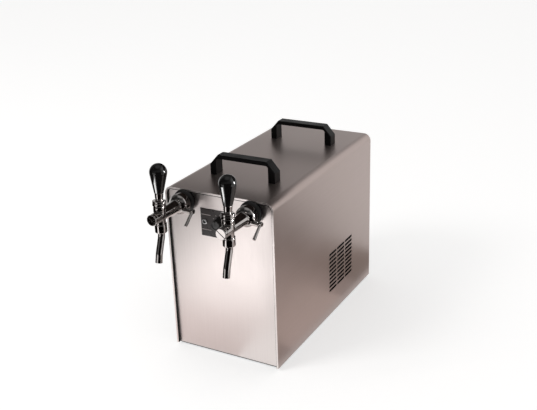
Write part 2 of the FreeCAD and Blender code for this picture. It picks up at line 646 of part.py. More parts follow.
# Black rosettes, shanks and back nuts clamp both taps to the front panel.
def make_tap_fixings():
    rosettes = new_body("tap_rosettes", x="-tap_x", y="panel_y", z="tap_z")
    bore = "(shank_radius + hole_gap)"
    ledge = "(panel_recess + loose_gap)"
    ring = turned_ahead(rosettes, [
        ("0", bore), ("0", "rosette_back"), (ledge, "rosette_back"), (ledge, "rosette_radius"),
        ("rosette_thick - rosette_edge", "rosette_radius"),
        ("rosette_thick", "rosette_radius - rosette_edge"), ("rosette_thick", bore)])
    repeat(rosettes, ring, "X", 2, "tap_spacing")
    shanks = new_body("tap_shanks", x="-tap_x", y="panel_y", z="tap_z")
    front = "(rosette_thick + shank_seat)"
    socket = "(line_radius + running_gap)"
    shank = turned_ahead(shanks, [
        (front, "feed_radius"), (front, "shank_radius"),
        ("shank_tail_length - shank_inside", "shank_radius"),
        ("shank_tail_length - shank_inside", "shank_tail"), ("-shank_inside", "shank_tail"),
        ("-shank_inside", socket), ("line_seat - shank_inside", socket),
        ("line_seat - shank_inside", "inlet_throat"), ("-shank_tail_length", "inlet_throat"),
        ("0", "feed_radius")])
    repeat(shanks, shank, "X", 2, "tap_spacing")
    nuts = new_body("tap_back_nuts", x="-tap_x", y="panel_y + panel_sheet", z="tap_z")
    sketch = draw(new_sketch(nuts, "XZ"), hexagon("back_nut_flats"))
    draw_circles(sketch, [("0", "0", "shank_radius + running_gap")])
    nut = pad(nuts, sketch, "back_nut_thick", reverse=True)
    repeat(nuts, nut, "X", 2, "tap_spacing")


# The housing behind the tap holds the flow cone, and its boss carries the flow lever.
def make_housing(side, x):
    body = new_body(f"flow_housing_{side}", x=x, y="panel_y", z="tap_z")
    taper = "(housing_front - housing_taper)"
    turned_ahead(body, [
        ("rosette_thick", "0"), ("rosette_thick", "housing_radius"), (taper, "housing_radius"),
        ("housing_front", "barrel_radius"), ("housing_front", "0")])
    boss = [("-flow_from_panel", "-flow_drop", "flow_boss_radius")]
    pad(body, draw_circles(new_sketch(body, "YZ"), boss), "flow_boss_reach")
    seat = "(rosette_thick + shank_seat)"
    turned_ahead(body, [
        ("rosette_thick - 1", "0"), ("rosette_thick - 1", "shank_radius + running_gap"),
        (seat, "shank_radius + running_gap"), (seat, "throat_radius"),
        ("housing_front + 1", "throat_radius"), ("housing_front + 1", "0")], kind="Groove")
    swing = "(crank_throw + crank_pin + crank_gap)"
    reach = "(flow_inner + hole_gap)"
    crank = [("-flow_from_panel", "-flow_drop", swing)]
    pocket(body, draw_circles(new_sketch(body, "YZ", reach), crank), reach)
    bore = [("-flow_from_panel", "-flow_drop", "flow_shaft + shaft_fit")]
    drilled = draw_circles(new_sketch(body, "YZ", "flow_boss_reach"), bore)
    pocket(body, drilled, "flow_boss_reach - flow_inner + hole_gap")


# The flow lever is a rod on a small shaft whose crank pin works the flow cone.
def make_flow_lever(side, x):
    body = new_body(f"flow_lever_{side}", x=x, y="flow_y", z="flow_z", lean="flow_rod_angle")
    knuckle = "(flow_boss_reach + loose_gap)"
    end = f"({knuckle} + flow_knuckle_length)"
    turned_across(body, [
        ("flow_inner", "0"), (knuckle, "0"), (end, "0"), (end, "flow_knuckle - 1"),
        (f"{end} - 1", "flow_knuckle"), (knuckle, "flow_knuckle"), (knuckle, "flow_shaft"),
        ("flow_inner", "flow_shaft")])
    middle = f"{knuckle} + flow_knuckle_length / 2"
    turned(body, "YZ", "H_Axis", [
        ("0", "0"), ("0", "flow_rod"),
        ("flow_rod_edge - flow_rod_length", "flow_rod + flow_rod_end"),
        ("-flow_rod_length", "flow_rod + flow_rod_end - flow_rod_edge"),
        ("-flow_rod_length", "0")], offset=middle)
    pin = [("crank_throw * sin(crank_set)", "crank_throw * cos(crank_set)", "crank_pin")]
    pad(body, draw_circles(new_sketch(body, "YZ", "flow_inner"), pin), "crank_reach", reverse=True)


# The flow cone slides in the housing's throat, moved by the crank pin in its saddle.
def make_flow_cone(side, x):
    body = new_body(f"flow_cone_{side}", x=x, y="flow_y", z="tap_z")
    land = "(throat_radius - loose_gap)"
    nose = "(flow_cone_land + flow_cone_length)"
    turned_ahead(body, [
        ("-flow_cone_back", "0"), ("-flow_cone_back", land), ("flow_cone_land", land),
        (nose, "flow_cone_tip"), (nose, "0")])
    centre = "(crank_throw * sin(crank_set - flow_rod_angle))"
    half = "(crank_pin + crank_gap)"
    roof = "(crank_throw + crank_pin + crank_gap - flow_drop)"
    saddle = box_corners(f"{centre} - {half}", f"{centre} + {half}", "-throat_radius", roof)
    pocket(body, draw(new_sketch(body, "YZ"), saddle), "2 * throat_radius", both=True)


# The tap body: a tapered barrel, a neck for the bonnet and a boss for the spout.
def make_tap_body(side, x):
    body = new_body(f"tap_body_{side}", x=x, y="panel_y", z="tap_z")
    waist = "(housing_front + barrel_taper_length)"
    turned_ahead(body, [
        ("housing_front", "0"), ("housing_front", "barrel_radius"), (waist, "barrel_waist"),
        ("plug_seat", "chest_radius"), ("plug_seat", "0")])
    seat = [("0", "-valve_from_panel", "bonnet_radius + loose_gap")]
    spot = draw_circles(new_sketch(body, "XY", "barrel_radius"), seat)
    pocket(body, spot, "barrel_radius - neck_height")
    neck = draw_circles(new_sketch(body, "XY"), [("0", "-valve_from_panel", "neck_radius")])
    pad(body, neck, "neck_height")
    boss = [("0", "-valve_from_panel", "spout_boss_radius")]
    pad(body, draw_circles(new_sketch(body, "XY"), boss), "spout_boss_drop", reverse=True)
    chest = draw_circles(new_sketch(body, "XZ", "plug_seat"), [("0", "0", "valve_radius")])
    pocket(body, chest, "valve_length")
    throat = draw_circles(new_sketch(body, "XZ", "housing_front"), [("0", "0", "throat_radius")])
    pocket(body, throat, "throat_run_on", reverse=True)
    feed = draw_circles(new_sketch(body, "XZ", "housing_front"), [("0", "0", "feed_radius")])
    pocket(body, feed, "body_length - valve_length + 1", reverse=True)
    socket = [("0", "-valve_from_panel", "seat_radius")]
    drilled = draw_circles(new_sketch(body, "XY", "neck_height"), socket)
    pocket(body, drilled, "neck_height - pivot_rise + seat_radius + ball_gap + 1")
    drain = [("0", "-valve_from_panel", "spout_bore")]
    outlet = draw_circles(new_sketch(body, "XY", "-spout_boss_drop"), drain)
    pocket(body, outlet, "spout_boss_drop", reverse=True)


# The bonnets hold the lever's ball down, and the slotted plugs close the valve bores.
def make_tap_caps():
    bonnets = new_body("tap_bonnets", x="-tap_x", y="valve_y", z="pivot_z")
    mouth_z = "sqrt(seat_radius^2 - bonnet_mouth^2)"
    flare_z = "sqrt(bonnet_radius^2 - bonnet_flare^2)"
    dome = turned_upright(bonnets, [
        ("seat_radius", "bonnet_base"), ("bonnet_radius", "bonnet_base"),
        ("bonnet_radius", "0"), left("bonnet_radius"), ("bonnet_flare", flare_z),
        ("bonnet_mouth", mouth_z), right("seat_radius"), ("seat_radius", "0")])
    repeat(bonnets, dome, "X", 2, "tap_spacing")
    plugs = new_body("front_plugs", x="-tap_x", y="panel_y", z="tap_z")
    front = "(plug_seat + plug_length)"
    plug = turned_ahead(plugs, [
        ("plug_seat - plug_spigot", "0"), ("plug_seat - plug_spigot", "valve_radius - running_gap"),
        ("plug_seat", "valve_radius - running_gap"), ("plug_seat", "plug_radius"),
        (f"{front} - plug_edge", "plug_radius"), (front, "plug_radius - plug_edge"), (front, "0")])
    slot = draw(new_sketch(plugs, "XZ", front), centred_box("2 * plug_radius", "plug_slot"))
    slot.AttachmentOffset = FreeCAD.Placement(
        slot.AttachmentOffset.Base, FreeCAD.Rotation(FreeCAD.Vector(0, 0, 1), 1))
    tie(slot, "AttachmentOffset.Rotation.Angle", "-plug_slot_turn")
    cut = pocket(plugs, slot, "plug_slot_depth")
    both = repeat(plugs, plug, "X", 2, "tap_spacing")
    both.Originals = [plug, cut]
    doc.recompute()


# The tap lever: a ball, an arm down to the shuttle and a domed cap over the bonnet.
def make_tap_lever(side, x):
    place = {"x": x, "y": "valve_y", "z": "pivot_z", "lean": "-lever_lean"}
    stem = new_body(f"lever_stem_{side}", **place)
    tip = "(-arm_length + sqrt(arm_ball^2 - arm_radius^2))"
    ball_low = "(-sqrt(ball_radius^2 - arm_radius^2))"
    ball_high = "(sqrt(ball_radius^2 - stem_radius^2))"
    under_cap = "(sqrt(cap_hollow^2 - stem_radius^2))"
    rim = "(sqrt(cap_hollow^2 - cap_rise^2))"
    turned_upright(stem, [
        ("0", "-arm_length - arm_ball"), left("arm_ball"), ("arm_radius", tip),
        ("arm_radius", ball_low), left("ball_radius"), ("stem_radius", ball_high),
        ("stem_radius", under_cap), right("cap_hollow"), (rim, "cap_rise"),
        ("cap_radius", "cap_rise"), ("cap_radius", "cap_top - cap_edge"),
        ("cap_radius - cap_edge", "cap_top"), ("stud_radius", "cap_top"),
        ("stud_radius", "cap_top + stud_length"), ("0", "cap_top + stud_length")])
    bore = "(stud_radius + running_gap)"
    joint = "(cap_top + ferrule_length)"
    ferrule = new_body(f"handle_ferrule_{side}", **place)
    turned_upright(ferrule, [(bore, "cap_top"), ("ferrule_base", "cap_top"),
                             ("ferrule_top", joint), (bore, joint)])
    grip = new_body(f"tap_handle_{side}", **place)
    centre = f"({joint} + handle_length - handle_radius)"
    touch_x = "(handle_radius * cos(handle_flank))"
    touch_z = f"({centre} - handle_radius * sin(handle_flank))"
    base = f"({touch_x} - ({touch_z} - {joint}) * tan(handle_flank))"
    end = "(cap_top + stud_length)"
    turned_upright(grip, [
        (bore, joint), (base, joint), (touch_x, touch_z), left("handle_radius"),
        ("0", f"{joint} + handle_length"), ("0", end), (bore, end)])


# The shuttle slides in the valve bore, driven by the arm's ball in its flared hole.
def make_shuttle(side, x):
    body = new_body(f"valve_shuttle_{side}", x=x, y="panel_y", z="tap_z")
    front = "(shuttle_back + shuttle_length)"
    edge = "(shuttle_radius - shuttle_edge)"
    turned_ahead(body, [
        ("shuttle_back", "0"), ("shuttle_back", edge),
        ("shuttle_back + shuttle_edge", "shuttle_radius"),
        (f"{front} - shuttle_edge", "shuttle_radius"), (front, edge), (front, "0")])
    hole = "(arm_ball + arm_gap)"
    floor = "(pivot_rise - arm_length * cos(lever_lean) - arm_ball - arm_under)"
    turned_upright(body, [
        ("0", floor), (hole, floor), (hole, "1"), ("arm_flare", "valve_radius"),
        ("0", "valve_radius")],
        offset="valve_from_panel + arm_length * sin(lever_lean)", kind="Groove")


# The spouts hang from the tap bodies in their nuts and lean ahead in two easy bends.
def make_spout_nuts():
    nuts = new_body("spout_nuts", x="-tap_x", y="valve_y", z="tap_z - spout_boss_drop")
    wide = "(spout_flange + running_gap)"
    tight = "(spout_radius + running_gap)"
    nut = turned_upright(nuts, [
        (wide, "0"), (wide, "-spout_flange_thick"), (tight, "-spout_flange_thick"),
        (tight, "-spout_nut_length"), ("spout_nut_radius - 1", "-spout_nut_length"),
        ("spout_nut_radius", "1 - spout_nut_length"), ("spout_nut_radius", "0")])
    repeat(nuts, nut, "X", 2, "tap_spacing")


def make_spout(side, x):
    body = new_body(f"spout_{side}", x=x, y="valve_y", z="tap_z - spout_boss_drop")
    turned_upright(body, [
        ("spout_bore", "0"), ("spout_flange", "0"), ("spout_flange", "-spout_flange_thick"),
        ("spout_bore", "-spout_flange_thick")])
    lean, tip = "spout_lean", "spout_tip_lean"
    y1, z1 = "0", "(-spout_nut_length - spout_straight)"
    y2 = f"(-spout_bend * (1 - cos({lean})))"
    z2 = f"({z1} - spout_bend * sin({lean}))"
    y3 = f"({y2} - spout_upper * sin({lean}))"
    z3 = f"({z2} - spout_upper * cos({lean}))"
    y4 = f"({y3} - spout_bend * (cos({tip}) - cos({lean})))"
    z4 = f"({z3} - spout_bend * (sin({lean}) - sin({tip})))"
    y5 = f"({y4} - spout_tip * sin({tip}))"
    z5 = f"({z4} - spout_tip * cos({tip}))"
    path = draw(new_sketch(body, "YZ"), [
        ("0", "0"), (y1, z1), right("spout_bend"), (y2, z2), (y3, z3), left("spout_bend"),
        (y4, z4), (y5, z5)], closed=False)
    piped(body, path, [("0", "0", "spout_radius"), ("0", "0", "spout_bore")])


make_tap_fixings()
make_tap_caps()
make_spout_nuts()
for side, x in (("left", "-tap_x"), ("right", "tap_x")):
    make_housing(side, x)
    make_flow_lever(side, x)
    make_flow_cone(side, x)
    make_tap_body(side, x)
    make_tap_lever(side, x)
    make_shuttle(side, x)
    make_spout(side, x)


# The chilled block stands in its jacket of foam, right behind the taps.
def make_block():
    jacket = new_body("insulation_jacket", y="jacket_y", z="inside_z")
    wall = "jacket_wall"
    half = "block_half"
    outside = box_corners(f"-{half} - {wall}", f"{half} + {wall}", "0", f"block_depth + 2 * {wall}")
    pad(jacket, draw(new_sketch(jacket, "XY"), outside), f"block_height + {wall}")
    inside = box_corners(f"-{half}", half, wall, f"{wall} + block_depth")
    top = new_sketch(jacket, "XY", f"block_height + {wall}")
    pocket(jacket, draw(top, inside), "block_height")
    room = "(foot_stem + foot_barb + hole_gap)"
    feet = [(f"{side}(case_width / 2 - foot_inset)", "front_y + foot_inset - jacket_y", room)
            for side in ("-", "")]
    recess = draw_circles(new_sketch(jacket, "XY"), feet)
    pocket(jacket, recess, "foot_barb_height + hole_gap", reverse=True)
    block = new_body("cooling_block", y=f"jacket_y + {wall}", z=f"inside_z + {wall}")
    outline = box_corners(f"-{half}", half, "0", "block_depth")
    pad(block, draw(new_sketch(block, "XY"), outline), "block_height")


# The beer comes in from the back, goes down into the block and up again to the taps.
def make_beer_lines():
    outlets = new_body("outlet_beer_lines", x="-tap_x", y="panel_y")
    up = "outlet_line_from_panel"
    path = draw(new_sketch(outlets, "YZ"), [
        (up, "block_top_z"), (up, "tap_z - line_bend"), left("line_bend"),
        (f"{up} - line_bend", "tap_z"), ("shank_inside - line_seat", "tap_z")], closed=False)
    line = piped(outlets, path, [("0", up, "line_radius")], "XY", "block_top_z")
    repeat(outlets, line, "X", 2, "tap_spacing")
    inlets = new_body("inlet_beer_lines", x="-line_spacing / 2", y="panel_y")
    down = "inlet_line_from_panel"
    start = "(back_y - inlet_barrel_length + line_seat - panel_y)"
    path = draw(new_sketch(inlets, "YZ"), [
        (down, "block_top_z"), (down, "inlet_z - line_bend"), right("line_bend"),
        (f"{down} + line_bend", "inlet_z"), (start, "inlet_z")], closed=False)
    line = piped(inlets, path, [("0", down, "line_radius")], "XY", "block_top_z")
    repeat(inlets, line, "X", 2, "line_spacing")


# Two push-in fittings for the beer tubes, each with its nut inside the rear panel.
def make_beer_inlets():
    inlets = new_body("beer_inlets", x="-line_spacing / 2", y="back_y", z="inlet_z")
    socket = "(line_radius + running_gap)"
    collet = "(inlet_collet_length - inlet_length)"
    floor = "(tube_depth - inlet_length)"
    inlet = turned_ahead(inlets, [
        ("-inlet_length", "tube_radius"), ("-inlet_length", "inlet_collet"),
        (collet, "inlet_collet"), (collet, "inlet_sleeve"),
        ("-inlet_collar_thick", "inlet_sleeve"), ("-inlet_collar_thick", "inlet_collar"),
        ("0", "inlet_collar"), ("0", "inlet_barrel"), ("inlet_barrel_length", "inlet_barrel"),
        ("inlet_barrel_length", socket), ("inlet_barrel_length - line_seat", socket),
        ("inlet_barrel_length - line_seat", "inlet_throat"), (floor, "inlet_throat"),
        (floor, "tube_radius")])
    repeat(inlets, inlet, "X", 2, "line_spacing")
    nuts = new_body("beer_inlet_nuts", x="-line_spacing / 2", y="back_y - panel_sheet",
                    z="inlet_z")
    sketch = draw(new_sketch(nuts, "XZ"), hexagon("inlet_nut_flats"))
    draw_circles(sketch, [("0", "0", "inlet_barrel + running_gap")])
    nut = pad(nuts, sketch, "inlet_nut_thick")
    repeat(nuts, nut, "X", 2, "line_spacing")


# The mains inlet is a shrouded socket with three flat pins.
def make_mains_inlet():
    inlet = new_body("mains_inlet", x="socket_x", y="back_y", z="socket_z")
    flange = centred_box("socket_width + 2 * socket_flange", "socket_tall + 2 * socket_flange")
    pad(inlet, draw(new_sketch(inlet, "XZ"), flange), "socket_flange_thick", reverse=True)
    shell = centred_box("socket_width", "socket_tall")
    inside = "(socket_depth + socket_back - socket_flange_thick)"
    pad(inlet, draw(new_sketch(inlet, "XZ"), shell), inside)
    half, high = "(socket_width / 2 - socket_wall)", "(socket_tall / 2 - socket_wall)"
    mouth = [(f"-{half}", f"-{high}"), (half, f"-{high}"), (half, f"{high} - socket_corner"),
             (f"{half} - socket_corner", high), (f"socket_corner - {half}", high),
             (f"-{half}", f"{high} - socket_corner")]
    opening = draw(new_sketch(inlet, "XZ", "-socket_flange_thick"), mouth)
    pocket(inlet, opening, "socket_depth", reverse=True)
    pins = new_body("mains_pins", x="socket_x",
                    y="back_y + socket_flange_thick - socket_depth", z="socket_z")
    sketch = new_sketch(pins, "XZ")
    for x, y in (("-pin_spread", "-pin_step / 2"), ("0", "pin_step / 2"),
                 ("pin_spread", "-pin_step / 2")):
        draw(sketch, centred_box("pin_width", "pin_tall", x, y))
    pad(pins, sketch, "pin_length", reverse=True)


# The power switch: a frame in the rear panel and a rocker on two small pins.
def make_power_switch():
    frame = new_body("power_switch", x="switch_x", y="back_y", z="socket_z")
    flange = centred_box("switch_width + 2 * switch_flange", "switch_tall + 2 * switch_flange")
    pad(frame, draw(new_sketch(frame, "XZ"), flange), "switch_flange_thick", reverse=True)
    shell = centred_box("switch_width", "switch_tall")
    pad(frame, draw(new_sketch(frame, "XZ"), shell), "switch_depth - switch_flange_thick")
    well = centred_box("switch_width - 2 * switch_wall", "switch_tall - 2 * switch_wall")
    opening = draw(new_sketch(frame, "XZ", "-switch_flange_thick"), well)
    pocket(frame, opening, "switch_well", reverse=True)
    pivot = "(switch_flange_thick - rocker_pivot)"
    bearing = [(pivot, "0", "rocker_pin + shaft_fit")]
    pocket(frame, draw_circles(new_sketch(frame, "YZ"), bearing), "switch_width + 1", both=True)
    rocker = new_body("switch_rocker", x="switch_x", y=f"back_y + {pivot}", z="socket_z",
                      lean="-rocker_tilt")
    out = "(rocker_half * sin(rocker_end_angle))"
    up = "(rocker_half * cos(rocker_end_angle))"
    back = "(sqrt(rocker_half^2 - rocker_back^2))"
    outline = [(out, f"-{up}"), ("rocker_crown", "0"), (out, up), left("rocker_half"),
               ("-rocker_back", back), ("-rocker_back", f"-{back}"), left("rocker_half")]
    width = "switch_width - 2 * switch_wall"
    pad(rocker, draw(new_sketch(rocker, "YZ"), outline), f"{width} - 2 * rocker_gap", both=True)
    pins = draw_circles(new_sketch(rocker, "YZ"), [("0", "0", "rocker_pin")])
    pad(rocker, pins, f"{width} + 2 * rocker_pin_reach", both=True)


# The compressor stands on four grommets, with its relay box against the can.
def make_compressor():
    body = new_body("compressor", x="can_x", y="can_y", z="can_z - sole_thick")
    sole = draw(new_sketch(body, "XY"), centred_box("sole_width", "sole_length"))
    pad(body, sole, "sole_thick")
    seam_low = "(sole_thick + can_seam_height)"
    seam_high = f"({seam_low} + can_seam_thick)"
    top = "(sole_thick + can_height)"
    turned_upright(body, [
        ("0", "sole_thick"), ("can_radius", "sole_thick"), ("can_radius", seam_low),
        ("can_radius + can_seam", seam_low), ("can_radius + can_seam", seam_high),
        ("can_radius", seam_high), ("can_radius", f"{top} - can_round"), left("can_round"),
        ("can_radius - can_round", top), ("0", top)])
    grommets = new_body("compressor_grommets", z="inside_z",
                        x="can_x - sole_width / 2 + grommet_inset",
                        y="can_y - sole_length / 2 + grommet_inset")
    disc = draw_circles(new_sketch(grommets, "XY"), [("0", "0", "grommet_radius")])
    repeat(grommets, pad(grommets, disc, "grommet_height"), "X", 2,
           "sole_width - 2 * grommet_inset", ("Y", 2, "sole_length - 2 * grommet_inset"))
    relay = new_body("relay_box", x="can_x", y="can_y", z="can_z + relay_lift")
    outline = box_corners("-relay_width / 2", "relay_width / 2", "-can_radius - relay_depth",
                          "-can_radius / 2")
    pad(relay, draw(new_sketch(relay, "XY"), outline), "relay_height")
    hug = "(can_radius + shaft_fit)"
    turned_upright(relay, [("0", "-1"), (hug, "-1"), (hug, "relay_height + 1"),
                           ("0", "relay_height + 1")], kind="Groove")


# The condenser's fins stand on both faces of its core, behind the slots of the right side.
def make_condenser():
    body = new_body("condenser", x="coil_x", y="coil_y", z="inside_z")
    outline = box_corners("0", "coil_thick", "-coil_length / 2", "coil_length / 2")
    pad(body, draw(new_sketch(body, "XY"), outline), "coil_height")
    middle = "(-(fin_count - 1) * fin_pitch / 2)"
    grooves = []
    for low, high in (("-1", "fin_depth"), ("coil_thick - fin_depth", "coil_thick + 1")):
        outline = box_corners(low, high, f"{middle} - fin_groove / 2", f"{middle} + fin_groove / 2")
        slot = draw(new_sketch(body, "XY", "coil_height - fin_margin"), outline)
        grooves.append(pocket(body, slot, "coil_height - 2 * fin_margin"))
    fins = repeat(body, grooves[0], "Y", "fin_count", "fin_pitch")
    fins.Originals = grooves
    doc.recompute()


# The fan draws the air through the condenser, in a ring of the shroud on its inner face.
def make_fan():
    shroud = new_body("fan_shroud", x="shroud_back_x", y="coil_y", z="fan_z")
    plate = draw(new_sketch(shroud, "YZ"), centred_box("coil_length", "coil_height"))
    draw_circles(plate, [("0", "0", "fan_opening")])
    pad(shroud, plate, "shroud_thick")
    ring = draw_circles(new_sketch(shroud, "YZ"), [
        ("0", "0", "fan_opening"), ("0", "0", "fan_opening + shroud_ring")])
    pad(shroud, ring, "shroud_depth", reverse=True)
    bracket = new_body("fan_bracket", x="bracket_x", y="coil_y", z="fan_z")
    half, thick = "bracket_half", "bracket_sheet"
    strip = [("0", f"-{half}"), ("bracket_reach", f"-{half}"),
             ("bracket_reach", f"{thick} - {half}"), (thick, f"{thick} - {half}"),
             (thick, f"{half} - {thick}"), ("bracket_reach", f"{half} - {thick}"),
             ("bracket_reach", half), ("0", half)]
    pad(bracket, draw(new_sketch(bracket, "XZ"), strip), "bracket_width", both=True)
    hole = draw_circles(new_sketch(bracket, "YZ"), [("0", "0", "motor_shaft + hole_gap")])
    pocket(bracket, hole, f"{thick} + 1", reverse=True)
    motor = new_body("fan_motor", x="bracket_x", y="coil_y", z="fan_z")
    turned_across(motor, [
        ("-motor_length", "0"), ("-motor_length", "motor_radius"), ("0", "motor_radius"),
        ("0", "motor_shaft"), ("motor_shaft_length", "motor_shaft"),
        ("motor_shaft_length", "0")])


# The fan's blades are lofted from a steep narrow root to a flat wide tip.
def make_fan_rotor():
    rotor = new_body("fan_rotor", x="fan_x", y="coil_y", z="fan_z")
    half = "(fan_width / 2)"
    bore = "(motor_shaft + shaft_fit)"
    floor = "(bracket_x + motor_shaft_length + hole_gap - fan_x)"
    turned_across(rotor, [
        (f"-{half}", bore), (f"-{half}", "fan_hub"), (half, "fan_hub"), (half, "0"),
        (floor, "0"), (floor, bore)])
    sections = []
    for height, chord, pitch in (("blade_start", "blade_root_chord", "blade_root_pitch"),
                                 ("blade_end", "blade_tip_chord", "blade_tip_pitch")):
        corners = []
        for along, across in ((-1, -1), (1, -1), (1, 1), (-1, 1)):
            corners.append((
                f"{along} * {chord} / 2 * sin({pitch}) + {across} * blade_thick / 2 * cos({pitch})",
                f"{along} * {chord} / 2 * cos({pitch}) - {across} * blade_thick / 2 * sin({pitch})"))
        sections.append(draw(new_sketch(rotor, "XY", height), corners))
    blade = rotor.newObject("PartDesign::AdditiveLoft", "Blade")
    blade.Profile = (sections[0], [""])
    blade.Sections = [(sections[1], [""])]
    blade.Ruled = True
    doc.recompute()
    around(rotor, blade, "X", "blade_count")


# Copper pipes join the compressor, the condenser, the filter drier and the block.
def make_pipes():
    drier = new_body("filter_drier", x="liquid_x", y="drier_y", z="drier_z")
    cone = "(2 * drier_neck_length)"
    turned_upright(drier, [
        ("0", "0"), ("drier_neck", "0"), ("drier_neck", "drier_neck_length"),
        ("drier_radius", cone), ("drier_radius", f"drier_length - {cone}"),
        ("drier_neck", "drier_length - drier_neck_length"), ("drier_neck", "drier_length"),
        ("0", "drier_length")])
    liquid = new_body("liquid_pipes", x="liquid_x")
    low = "(foot_height + liquid_low)"
    path = draw(new_sketch(liquid, "YZ"), [
        ("coil_front_y", low), ("drier_y + pipe_bend", low), right("pipe_bend"),
        ("drier_y", f"{low} + pipe_bend"), ("drier_y", "drier_z")], closed=False)
    piped(liquid, path, [("0", low, "pipe_radius")], "XZ", "-coil_front_y")
    high = "(foot_height + liquid_high)"
    into = "(panel_y + liquid_from_panel)"
    top = "(drier_z + drier_length)"
    path = draw(new_sketch(liquid, "YZ"), [
        ("drier_y", top), ("drier_y", f"{high} - pipe_bend"), left("pipe_bend"),
        ("drier_y - pipe_bend", high), (f"{into} + pipe_bend", high), left("pipe_bend"),
        (into, f"{high} - pipe_bend"), (into, "block_top_z")], closed=False)
    piped(liquid, path, [("0", "drier_y", "pipe_radius")], "XY", top)
    discharge = new_body("discharge_pipe", y="can_y - discharge_ahead")
    start = "(can_x + discharge_x)"
    end = "(coil_x + coil_thick / 2)"
    high = "(can_top_z + discharge_rise)"
    path = draw(new_sketch(discharge, "XZ"), [
        (start, "can_top_z"), (start, f"{high} - pipe_bend"), right("pipe_bend"),
        (f"{start} + pipe_bend", high), (f"{end} - pipe_bend", high), right("pipe_bend"),
        (end, f"{high} - pipe_bend"), (end, "coil_top_z")], closed=False)
    piped(discharge, path, [(start, "0", "pipe_radius")], "XY", "can_top_z")
    suction = new_body("suction_pipe", x="suction_x")
    start = "(panel_y + suction_from_panel)"
    end = "(can_y + suction_behind)"
    high = "(foot_height + suction_high)"
    path = draw(new_sketch(suction, "YZ"), [
        (start, "block_top_z"), (start, f"{high} - pipe_bend"), right("pipe_bend"),
        (f"{start} + pipe_bend", high), (f"{end} - pipe_bend", high), right("pipe_bend"),
        (end, f"{high} - pipe_bend"), (end, "can_top_z")], closed=False)
    piped(suction, path, [("0", start, "pipe_radius")], "XY", "block_top_z")


# Three screws hold the rear panel to the tray.
def make_rear_screws():
    body = new_body("rear_screws", x="-screw_spacing", y="back_y", z="screw_z")
    screw = turned_ahead(body, [
        ("-screw_head_height", "0"), ("-screw_head_height", "screw_head"), ("0", "screw_head"),
        ("0", "screw_radius"), ("screw_length", "screw_radius"), ("screw_length", "0")])
    repeat(body, screw, "X", 3, "screw_spacing")


make_block()
make_beer_lines()
make_beer_inlets()
make_mains_inlet()
make_power_switch()
make_compressor()
make_condenser()
make_fan()
make_fan_rotor()
make_pipes()
make_rear_screws()




# Every object must be sound before a file is written.
def check_model():
    faults = [thing.Name for thing in doc.Objects
              if any(word in thing.State for word in ("Invalid", "Error"))]
    for part in PARTS:
        if part.Shape.isNull() or not part.Shape.isValid() or not part.Shape.Solids:
            faults.append(part.Label)
    if faults:
        raise RuntimeError("unsound: " + ", ".join(faults))


def write_parts():
    os.makedirs("parts", exist_ok=True)
    for part in PARTS:
        part.Shape.exportStep(f"parts/{part.Label}.step")


doc.recompute()
check_model()
write_parts()
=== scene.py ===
import json
import math
import bmesh
import bpy
from mathutils import Matrix, Vector


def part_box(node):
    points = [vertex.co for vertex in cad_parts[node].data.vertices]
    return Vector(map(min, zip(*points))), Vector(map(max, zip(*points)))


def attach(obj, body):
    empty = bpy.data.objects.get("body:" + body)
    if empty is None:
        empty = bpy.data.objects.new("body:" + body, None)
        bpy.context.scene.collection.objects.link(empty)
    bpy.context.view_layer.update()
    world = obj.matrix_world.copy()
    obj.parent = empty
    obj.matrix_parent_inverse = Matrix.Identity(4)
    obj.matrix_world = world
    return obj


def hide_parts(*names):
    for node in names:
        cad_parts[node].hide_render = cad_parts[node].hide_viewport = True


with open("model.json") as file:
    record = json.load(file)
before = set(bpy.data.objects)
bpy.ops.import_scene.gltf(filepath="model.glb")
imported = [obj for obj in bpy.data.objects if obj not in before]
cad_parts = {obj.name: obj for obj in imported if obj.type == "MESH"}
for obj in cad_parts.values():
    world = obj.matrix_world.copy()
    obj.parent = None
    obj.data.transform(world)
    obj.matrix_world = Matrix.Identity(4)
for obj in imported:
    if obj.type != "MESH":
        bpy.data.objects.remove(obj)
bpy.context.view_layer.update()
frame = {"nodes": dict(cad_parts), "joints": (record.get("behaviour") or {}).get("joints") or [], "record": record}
mm = 0.001
print("frame loaded:", len(frame["nodes"]), "nodes")


# The camera stands where the photographer stood.
camera = {
    "place": (0.79586, -1.40046, 0.90641),  # metres, in the row frame
    "azimuth": 29.45,
    "elevation": 22.04,
    "roll": -2.0,
    "lens": 57.995,  # mm
    "sensor": 36,  # mm wide
    "farthest": 50,  # metres
}


def makeCamera(settings):
    turn = math.radians(settings["azimuth"])
    rise = math.radians(settings["elevation"])
    roll = math.radians(settings["roll"])
    back = Vector((math.sin(turn) * math.cos(rise), -math.cos(turn) * math.cos(rise), math.sin(rise)))
    level = Vector((math.cos(turn), math.sin(turn), 0))
    upright = back.cross(level)
    across = math.cos(roll) * level + math.sin(roll) * upright
    above = -math.sin(roll) * level + math.cos(roll) * upright
    data = bpy.data.cameras.new("photoCamera")
    data.sensor_fit = "HORIZONTAL"
    data.sensor_width = settings["sensor"]
    data.lens = settings["lens"]
    data.clip_end = settings["farthest"]
    item = bpy.data.objects.new("photoCamera", data)
    axes = Matrix((across, above, back)).transposed().to_4x4()
    item.matrix_world = Matrix.Translation(Vector(settings["place"])) @ axes
    bpy.context.scene.collection.objects.link(item)
    bpy.context.scene.camera = item


makeCamera(camera)
print("camera set")


def hexColour(code):  # sRGB hex to the linear values that Blender mixes in
    parts = [int(code[n:n + 2], 16) / 255 for n in (1, 3, 5)]
    return [p / 12.92 if p <= 0.04045 else ((p + 0.055) / 1.055) ** 2.4 for p in parts] + [1.0]


